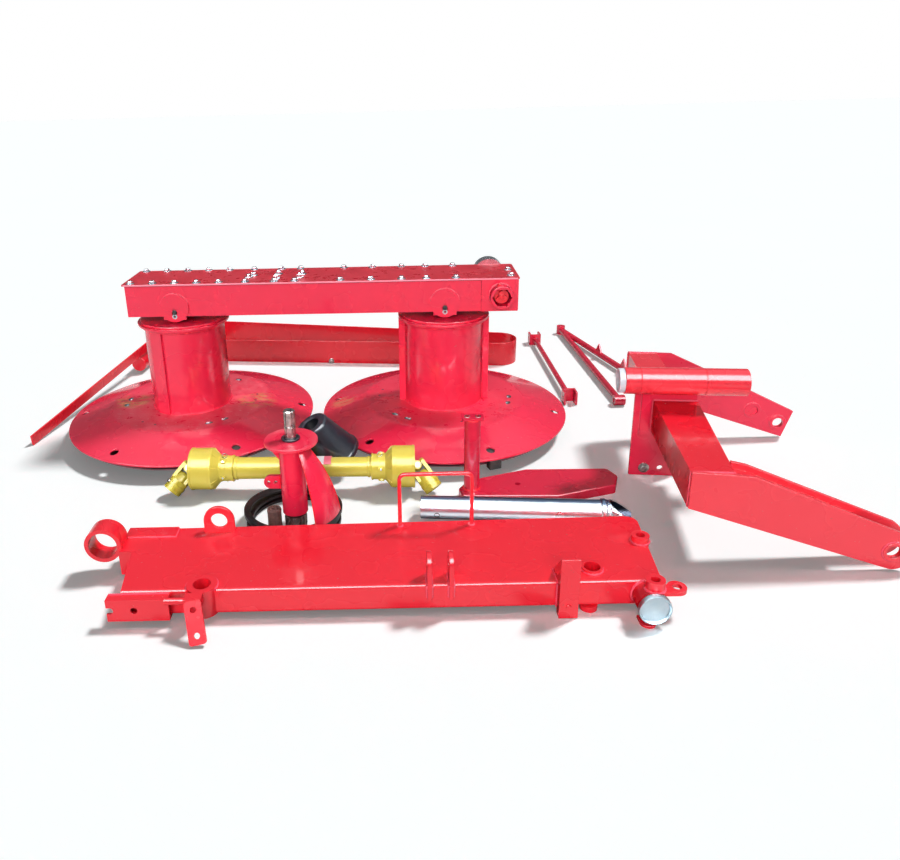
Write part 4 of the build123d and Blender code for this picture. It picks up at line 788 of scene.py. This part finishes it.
def helicalGear(bm):
    rings = []
    for level in range(gear["slices"] + 1):
        share = level / gear["slices"]
        at = on(head, 0, 0, gear["height"] * share) @ turned(gear["twist"] * share)
        ring = []
        for i in range(gear["teeth"]):
            start = 360 * i / gear["teeth"]
            for offset, corner in gear["tooth"]:
                angle = math.radians(start + offset)
                cut = corner == "tip" and level in (0, gear["slices"])
                reach = gear["reach"][corner] - (gear["chamfer"] if cut else 0)
                ring.append(polar(at, reach, angle))
        rings.append(ring)
    loft(bm, rings)


# a V-belt dropped on the pile: not quite round, not quite flat
def beltLoop(bm, lift, squeeze, wave, turn):
    half, depth = coil["width"] / 2, coil["depth"] / 2
    section = [(out * depth, -wide * half) for out, wide in coil["flank"]]
    section += [(x, -z) for x, z in reversed(section)]
    rings = []
    for i in range(coil["steps"]):
        angle = 2 * math.pi * i / coil["steps"]
        phase = angle - math.radians(turn)
        radius = coil["radius"] + squeeze * math.cos(2 * phase)
        height = lift + half + wave * (1 + math.cos(phase))
        at = spot(*coil["centre"], height) @ Matrix.Rotation(angle, 4, "Z")
        lean = turned(wave * 2.4 * math.sin(phase), "Y")
        place = on(at, radius) @ lean
        rings.append([place @ Vector((x, 0, z)) for x, z in section])
    loft(bm, rings, closed=True)


def bondedBush(bm):
    lathe(bm, bush["at"], bush["profile"], 48)


def shieldCone(bm):
    lathe(bm, coneAt, cone["profile"], 96)


def headWelds(bm):
    ringWeld(bm, on(head, 0, 0, 221), 31.2, 2.8)
    ear = on(head, -31, 0, 118)
    for y in (-4.5, 4.5):
        weld(bm, line(ear, (0, y, -16), (0, y, 16)), inward, 2.2)


# the moulded bead round the belt guard's edges
def guardBead(bm):
    bead = arcThrough(*beltGuard["curve"])
    for angle in beltGuard["edges"]:
        edge = head @ turned(angle)
        points = line(edge, *[(x, 0, z) for x, z in bead])
        sweep(bm, points, [beltGuard["bead"]] * len(points), edge.to_3x3() @ inward)


addPiece("helicalGear", "input_shaft", "bright_steel", helicalGear, "gearSteel", ("pinion",),
         0.3)
for number, loop in enumerate(coil["loops"], 1):
    addPiece(f"beltLoop_{number}", "kit", "black_rubber", lambda bm: beltLoop(bm, *loop),
             "beltRubber", (f"v_belt_{number}",))
addKit(bondedBush, "brown_bush", None, ("spacer_bush",))
addKit(shieldCone, "black_rubber", None, ("shield_cone",))
addKit(headWelds, "red_paint")
addKit(guardBead, "red_paint")
print("drive head done")


# drive shaft
shaft = {"y": -420, "height": 66, "cup": 54, "collar": 33, "taperFrom": 58, "collarFrom": 78,
         "collarEnd": 113, "tabs": (35, 105, 215, 285), "steps": 56}
# body, x of the cup's mouth, way out and the tube's radius
shaftSides = {"left": ("kit", -289, -1, 28.5), "right": ("pto_inner", 294, 1, 25.6)}
label = {"left": 28.0, "split": 59.0, "right": 78.0, "turn": 110, "arc": 118,
         "outer": 28.78, "inner": 28.4}
yoke = {
    "collar": ((23.5, -6), (25.4, -5), (25.4, 3), (23.5, 4), (23.5, -6)),
    "ribs": (9.0, 13.0), "pinTurn": 35,
    "pin": ((0, 0), (5.2, 0), (5.2, 4), (4.4, 5), (2.6, 5.2), (0, 5.2)),
    "cross": ((0, -12.5), (5, -12), (9.5, -9.4), (11.6, -6), (12.8, -2), (12.8, 2), (11.6, 6),
              (9.5, 9.4), (5, 12), (0, 12.5)),
    # reach from the cross, half width along the ears and half depth
    "web": ((15.5, 6, 4), (16.5, 10.5, 8), (19, 13.2, 10.4), (24, 13.9, 12.5), (30, 15, 15),
            (36, 16, 17.5), (40, 16, 19)),
    "corner": 0.6, "steps": 32,
}
mounts = {row["name"]: row for row in frame["record"]["mounts"]}
joints = {row["name"]: row for row in frame["record"]["behaviour"]["joints"]}


# along the guard from its mouth inward; out is 1 or -1, the way its mouth points
def guardAxis(mouth, out):
    middle = spot(mouth, shaft["y"], shaft["height"])
    return on(middle, 0, 0, 0, "left" if out > 0 else "right")


# the collar's screw tabs, each seen from outside
def tabPlaces(at, radius):
    for turn in shaft["tabs"]:
        yield on(at @ turned(turn), radius, 0, shaft["collarFrom"] + 9, "right")


def guardBands(bm, mouth, out, tube):
    at = guardAxis(mouth, out)
    cup, collar, start, end = (shaft[k] for k in ("cup", "collar", "collarFrom", "collarEnd"))
    for place, radius, width, proud in (
        (1.2, cup, 5, 1.4), (shaft["taperFrom"] - 9, cup, 3, 0.9), (start - 2, collar, 4, 1.6),
        (start + 15, collar, 3, 1.2), (end - 5, collar, 4, 1.6), (end + 3, tube, 6, 2.0),
    ):
        root, rim, shoulder = radius - 1, radius + proud, radius + proud * 0.7
        far = place + width
        lathe(bm, at, [(root, place), (shoulder, place), (rim, place + 0.8), (rim, far - 0.8),
                       (shoulder, far), (root, far), (root, place)], shaft["steps"])
    for turn in range(0, 360, 45):
        rib = at @ turned(turn + 20)
        points = line(rib, (cup - 1, 0, shaft["taperFrom"] + 2), (collar + 0.6, 0, start - 3))
        sweep(bm, points, [1.5, 1.5], rib.to_3x3() @ inward)
    for tab in tabPlaces(at, collar + 0.5):
        wide = tab @ Matrix.Diagonal((1.5, 1, 1, 1))
        lathe(bm, wide, [(0, -2), (5, -2), (5, 3.2), (4.2, 4), (0, 4)], 24)


def guardScrews(bm, mouth, out):
    for tab in tabPlaces(guardAxis(mouth, out), shaft["collar"] + 4.2):
        lathe(bm, tab, [(0, -1), (3, -1), (2.8, 0.9), (1.3, 1.3), (1.2, 0.6), (0, 0.6)], 20)


# the anchor ring for the guard's chain
def chainRing(bm, mouth, out, tilt=20):
    x, height = mouth - out * (shaft["collarFrom"] + 12), shaft["height"] + shaft["collar"] + 6
    at = on(spot(x, shaft["y"] - 6, height), 0, 0, 0, "front") @ turned(tilt, "Y")
    ring = circle(at, 6.5, steps=28)
    sweep(bm, ring, [1.1] * len(ring), at.to_3x3() @ upright, 8, True)


def tubeLabel(bm, start, end):
    rings = []
    for x in (start, end):
        outer, inner = (circle(guardAxis(x, -1), label[way], label["turn"], label["arc"], 16)
                        for way in ("outer", "inner"))
        rings.append(outer + inner[::-1])
    loft(bm, rings)


# on the yoke's bore, looking out along it
def boreAt(side):
    mount = mounts[f"pto_{side}_bore"]
    turn = upright.rotation_difference(Vector(mount["axis"])).to_matrix().to_4x4()
    return Matrix.Translation(Vector(mount["pos_m"]) * 1000) @ turn


def yokeCollar(bm, side):
    at = boreAt(side)
    lathe(bm, at, yoke["collar"], 48)
    for height in yoke["ribs"]:
        lathe(bm, at, [(23.5, height), (24.7, height + 0.4), (24.7, height + 1.8),
                       (23.5, height + 2.2), (23.5, height)], 48)


def yokePin(bm, side):
    out = Matrix.Translation((24, 0, -1)) @ turned(90, "Y")
    lathe(bm, boreAt(side) @ turned(yoke["pinTurn"]) @ out, yoke["pin"], 24)


# the cross's forged body
def crossBody(bm, side):
    centre = Vector(joints[f"yoke_{side}_swing"]["pos_m"]) * 1000
    lathe(bm, Matrix.Translation(centre), yoke["cross"])


# the forging closes the fork behind the cross
def yokeWeb(bm, side):
    joint, mount = joints[f"yoke_{side}_swing"], mounts[f"pto_{side}_bore"]
    centre = Vector(joint["pos_m"]) * 1000
    out = (Vector(mount["pos_m"]) * 1000 - centre).normalized()
    ears = Vector(joint["axis"]).normalized()
    aside = out.cross(ears).normalized()

    # rounds a square's corners
    def blunt(share, size):
        return math.copysign(abs(share) ** yoke["corner"], share) * size

    rings = []
    for reach, wide, deep in yoke["web"]:
        ring = []
        for i in range(yoke["steps"]):
            angle = 2 * math.pi * i / yoke["steps"]
            across, along = blunt(math.cos(angle), wide), blunt(math.sin(angle), deep)
            ring.append(centre + out * reach + ears * across + aside * along)
        rings.append(ring)
    loft(bm, rings)


for side, (body, mouth, out, tube) in shaftSides.items():
    fork = f"yoke_{side}"
    addSided(side, fork, "yellow_steel", yokeWeb)
    addSided(side, f"cross_{side}", "yellow_steel", crossBody)
    addSided(side, body, "yellow_guard", guardBands, (mouth, out, tube))
    addSided(side, body, "zinc_plate", guardScrews, (mouth, out))
    addSided(side, body, "zinc_plate", chainRing, (mouth, out))
    addSided(side, fork, "yellow_steel", yokeCollar)
    addSided(side, fork, "bright_steel", yokePin)
for name, start, end in (("labelWhite", "left", "split"), ("labelPink", "split", "right")):
    addPiece(name, "kit", "yellow_guard", lambda bm: tubeLabel(bm, label[start], label[end]),
             name)
print("drive shaft done")


# carrier beam
beam = {"top": 69, "depth": 229}
# x, y and radius of the bored eyes, and the start and sweep of each one's weld
eyes = ((159, 15, 31, -28, 236), (943, 42, 21, 0, 360), (1070.8, 140, 19, 0, 360))
lugs, loopFeet, postEdges = (612.5, 655.5), (560, 720), (-19.5, 19.5)
cap = {
    "x": 1042, "height": 40, "front": -46, "radius": 32.3, "teeth": 60, "notch": 0.45,
    "profile": ((29.8, 0), (32.3, 1.0), (32.3, 9.5), (31.2, 11.6), (28.6, 12), (27.6, 10.6),
                (26.8, 8.4), (14, 9.6), (2, 10.0)),
}


def carrierWelds(bm):
    for x, y, radius, start, arc in eyes:
        ringWeld(bm, on(carrier, x, y, beam["top"] + 0.3), radius + 0.5, 2.4, start, arc)
    lugFoot = on(carrier, 157, beam["depth"] - 9, beam["top"])
    weld(bm, line(lugFoot, (-34, -0.6, 0.8), (34, -0.6, 0.8)), upright, 3.2)
    for x in lugs:
        lug = on(carrier, x, 0, beam["top"])
        for side in (-5.2, 5.2):
            weld(bm, line(lug, (side, -8, 0.6), (side, 38, 0.6)), upright, 2.6)
            weld(bm, line(lug, (side, -1, -2), (side, -1, -28)), inward, 2.4)
    for x in loopFeet:
        ringWeld(bm, on(carrier, x, 220.9, beam["top"]), 5.6, 2.4)
    saddle = on(carrier, 0, 0, beam["top"])
    weld(bm, line(saddle, (-44, 195, 0.8), (62, 195, 0.8), (62, 228, 0.8)), upright, 2.2)
    weld(bm, line(carrier, (-48, 150, 66), (-48, 192, 66)), upright, 3.4)
    post = on(carrier, 884, 0, 0)
    for side in postEdges:
        weld(bm, line(post, (side, -0.6, 14), (side, -0.6, 67)), inward, 2.4)
        weld(bm, line(post, (side, 1, 69.6), (side, 44, 69.6)), upright, 2.2)
    pivot = on(carrier, cap["x"], -0.6, cap["height"], "front")
    ringWeld(bm, pivot, 30, 2.8, -30, 240)
    weld(bm, line(carrier, (-24, -0.8, 63.5), (96, -0.8, 63.5)), upright, 2.4)
    eye = on(carrier, cap["x"] + 6, -23, cap["height"] + 28.5)
    ringWeld(bm, eye, 19.4, 2.6, 180, 180)


def capShell(bm):
    at = on(carrier, cap["x"], cap["front"], cap["height"], "front")
    count = cap["teeth"] * 2
    rings = []
    for radius, height in cap["profile"]:
        notch = cap["notch"] if radius == cap["radius"] else 0
        rings.append([polar(at, radius - i % 2 * notch, 2 * math.pi * i / count, height)
                      for i in range(count)])
    loft(bm, rings)


def postBolt(bm):
    bolt(bm, on(carrier, 884, -22.2, 28, "front"), 8, 3, 0)


addKit(carrierWelds, "red_paint", "weldHighlightPaint")
addKit(capShell, "zinc_plate", "capZinc", ("pivot_cap",))
addKit(postBolt, "red_paint")
print("carrier done")


# hitch headstock
arm = {"bottom": 132, "top": 216, "face": -392.6}
link = {"bottom": 150, "top": 214}
spar = {"bottom": 188, "top": 256, "face": 258.2, "root": 10.8}
# height and y of the beads along the swivel tube; x, height and y of the link eyes
tubeBeads = ((256, -8.5), (300, -1.5))
linkEyes = {"places": ((396, 48, -407.2), (396, 48, 254.8), (322, 85, 254.8)),
            "proud": 4.4, "radius": 22.4}


def hitchWelds(bm):
    # a straight bead from place to place
    def bead(size, normal, *corners):
        weld(bm, line(hitch, *corners), normal, size)

    def upBead(size, x, y, bottom, top):
        bead(size, inward, (x, y, bottom), (x, y, top))

    bottom, top, face = arm["bottom"], arm["top"], arm["face"]
    for height, y in tubeBeads:
        bead(3.2, upright, (-66, y, height), (84, y, height))
    for x in (-52.5, -29.6):
        upBead(1.9, x, -0.8, 122, 246)
    bead(2.8, upright, (-22, -1, top + 1), (88, -1, top + 1))
    for x in (-23, 86):
        upBead(2.4, x, -1, bottom, top)
    bead(2.6, upright, (-28, face, top + 0.8), (60, face, top + 0.8))
    upBead(2.0, -29.5, face, bottom + 2, top)
    upBead(2.6, 61.6, -392, link["bottom"], link["top"])
    upBead(2.4, 65.4, -349.5, link["bottom"], link["top"])
    bead(2.4, upright, (64, -391.6, 206.6), (98, -391.6, 199.6), (150, -391.6, 179))
    for x in (-40.6, 38.6):
        for y in (spar["face"], spar["root"]):
            upBead(2.6, x, y, spar["bottom"], spar["top"])
    crown = spar["top"] + 1.4
    bead(2.6, upright, (-40, spar["face"], crown), (38, spar["face"], crown))
    for x, height, y in linkEyes["places"]:
        at = on(hitch, x, y + linkEyes["proud"], height, "front")
        ringWeld(bm, at, linkEyes["radius"], 2.4)


def headBolt(bm):
    bolt(bm, on(hitch, -30.5, 0, 22, "front"), 15, 6, 1.8)


# foot post and zinc tube
footPost = {"at": (438, -459), "foot": 24.3, "length": 191.6, "top": 222,
            "holes": (-13.5, 13.5)}


def stayWelds(bm):
    foot = spot(*footPost["at"], footPost["foot"])
    ringWeld(bm, foot, 20.6, 2.8)
    ringWeld(bm, on(foot, 0, 0, footPost["length"]), 20.2, 1.8)


def postBolts(bm):
    at = spot(*footPost["at"], footPost["top"])
    for x in footPost["holes"]:
        lathe(bm, on(at, x, 0, -0.2), [(5.0, 0), (7.6, 0), (7.2, 1.0), (5.0, 1.0), (5.0, 0)], 24)


# the zinc tube's start, with x along it, and its length
def zincAxis():
    start = spot(*zincPipe["from"], zincPipe["radius"] + zincPipe["collar"])
    reach = spot(*zincPipe["to"]).translation - start.translation
    length = math.hypot(reach.x, reach.y)
    return start @ turned(math.degrees(math.atan2(reach.y, reach.x))), length


# the sleeve tube: a pressed collar, then crinkled film up to a slanting end
def zincSleeve(bm):
    at, length = zincAxis()
    radius, wedge = zincPipe["radius"], zincPipe["wedge"]
    inner, film = radius - zincPipe["wall"], length - wedge
    collar = film - zincPipe["collarWidth"]
    outer = [(0, inner + 0.6), (0.8, radius), (90, radius), (200, radius), (320, radius),
             (collar - 2, radius)]
    outer += [(collar + w, radius + h) for w, h in ((0, 1.8), (2, 3), (9, 3), (11.5, 1.4))]
    outer += [(film + wedge * i / 16, radius) for i in range(1, 17)]
    rings = []
    for along, size in outer + [(length, inner), (film, inner), (0, inner)]:
        ring = []
        for i in range(72):
            angle = math.radians(i * 5)
            height = size * math.sin(angle)
            slant = min(max((height + radius / 2) / (1.5 * radius), 0), 1)
            place = along if along <= film else film + (along - film) * (1 - 0.93 * slant)
            across, rise = math.cos(angle), math.sin(angle)
            crinkle = 0
            if along > film and size == radius:
                folds = Vector((along / 9, across * 3, rise * 3))
                crinkle = zincPipe["crinkle"] * field.noise(folds)
            corner = (place, (size + crinkle) * -across, height + crinkle * rise)
            ring.append(at @ Vector(corner))
        rings.append(ring)
    loft(bm, rings, closed=True)


# a dark dish with a raised rim stands for the hole in the tube's side: painted shade inside the
# hole
def zincHoleShade(bm):
    side = on(zincAxis()[0], zincPipe["holeInset"], 0, 0, "front") @ turned(12, "X")
    hole = zincPipe["hole"]
    lathe(bm, on(side, 0, 0, zincPipe["radius"] - 1.2),
          [(0, 0.8), (hole - 0.6, 0.8), (hole, 1.9), (hole + 0.8, 1.5), (hole + 1, 0)], 32)


addKit(zincSleeve, "zinc_plate", "zincTube", ("zinc_tube",))
addKit(zincHoleShade, "dark_steel", "beltRubber")
addKit(hitchWelds, "red_paint", "weldHighlightPaint")
addKit(headBolt, "bright_steel")
addKit(stayWelds, "red_paint")
addKit(postBolts, "bright_steel")
print("hitch done")


# floor, light and camera
studio = {
    "ambient": 0.13, "horizon": 0.14, "zenith": 0.9, "window": 17.0, "mirror": (0.93, 0.97, 1.0),
    # rises of the bright roof and of the window in it, which stands behind the camera
    "roofRise": (0.45, 0.92), "windowRise": (0.55, 0.93), "windowEdge": 0.04,
    "windowBack": (0.05, 0.2),
    "backSun": {"turn": -58, "tilt": -34, "power": 2.68, "soft": 9, "bounces": 1},
    "frontSun": {"turn": -6, "tilt": 66, "power": 2.42, "soft": 40, "bounces": 0},
}
floor = {
    "size": 60, "drop": 0.0006, "grain": 1.5, "seen": ((0.96, 1.0, 1.0), (0.98, 1, 1)),
    "bounced": ((0.86, 0.86, 0.86), (0.90, 0.90, 0.90)), "glow": (0.16, 0.165, 0.165),
}


# the camera sees a paler floor than the one that lights the pieces from below
def makeFloor():
    s = Shader("paleFloor", Roughness=0.9)
    s.set("Base Color", s.mix(s.noise(floor["grain"], 1), *floor["bounced"]))
    s.set("Specular IOR Level", 0.0)
    pale = s.mix(s.noise(floor["grain"], 1), *floor["seen"])
    seen = s.node("ShaderNodeBsdfDiffuse", {}, {"Color": pale})
    glow = s.node("ShaderNodeEmission", {}, {"Color": floor["glow"], "Strength": 1})
    seen = s.node("ShaderNodeAddShader", {}, [seen, glow])
    lit = Signal(s, s.surface.outputs[0])
    s.put(s.either(s.ray("Is Camera Ray"), lit, seen),
          s.tree.nodes["Material Output"].inputs[0])
    bpy.ops.mesh.primitive_plane_add(size=floor["size"], location=(0, 0, -floor["drop"]))
    plane = bpy.context.object
    plane.name = "floor"
    plane.data.materials.append(s.material)


# white to the camera; shiny surfaces see a dim horizon under a bright roof with one window
def makeWorld():
    world = bpy.data.worlds.new("studio")
    world.use_nodes = True
    bpy.context.scene.world = world
    w = Graph(world.node_tree)
    away, rise = (w.along(axis, "Generated") for axis in "YZ")
    roof = w.step(rise, *studio["roofRise"])
    window = w.band(rise, *studio["windowRise"], studio["windowEdge"])
    window = window * w.step(0 - away, *studio["windowBack"])
    shine = roof * (studio["zenith"] - studio["horizon"]) + studio["horizon"]
    shine = shine + window * studio["window"]

    def light(colour, strength):
        return w.node("ShaderNodeBackground", {}, {"Color": colour, "Strength": strength})

    dim = light((1, 1, 1), studio["ambient"])
    mirrored = light(studio["mirror"], shine)
    shown = w.either(w.ray("Is Glossy Ray"), dim, mirrored)
    result = w.either(w.ray("Is Camera Ray"), shown, light((1, 1, 1), 1.0))
    w.put(result, w.tree.nodes["World Output"].inputs[0])


def makeLights():
    for name in ("backSun", "frontSun"):
        values = studio[name]
        lamp = bpy.data.lights.new(name, "SUN")
        lamp.energy = values["power"]
        lamp.angle = math.radians(values["soft"])
        lamp.cycles.max_bounces = values["bounces"]
        holder = bpy.data.objects.new(name, lamp)
        holder.matrix_world = turned(values["turn"]) @ turned(values["tilt"], "X")
        holder.visible_glossy = False
        bpy.context.collection.objects.link(holder)
    # the front light is flagged off the floor, which keeps its shadows neutral
    flagged = bpy.data.collections.new("flagged")
    flagged.objects.link(bpy.data.objects["floor"])
    bpy.data.objects["frontSun"].light_linking.receiver_collection = flagged
    flagged.collection_objects[0].light_linking.link_state = "EXCLUDE"


def makeCamera():
    view = {"place": (0.0039, -2.1595, 1.003), "pitch": 19.40, "yaw": 1.94, "roll": -1.58,
            "lens": 30.94, "shift": (0.079, -0.081)}
    lens = bpy.data.cameras.new("camera")
    lens.lens = view["lens"]
    lens.shift_x, lens.shift_y = view["shift"]
    camera = bpy.data.objects.new("camera", lens)
    aim = turned(view["yaw"]) @ turned(90 - view["pitch"], "X") @ turned(view["roll"])
    camera.matrix_world = Matrix.Translation(view["place"]) @ aim
    bpy.context.collection.objects.link(camera)
    bpy.context.scene.camera = camera


makeFloor()
makeWorld()
makeLights()
makeCamera()
bpy.context.scene.view_settings.view_transform = "Standard"

bpy.context.view_layer.update()
print("scene done")
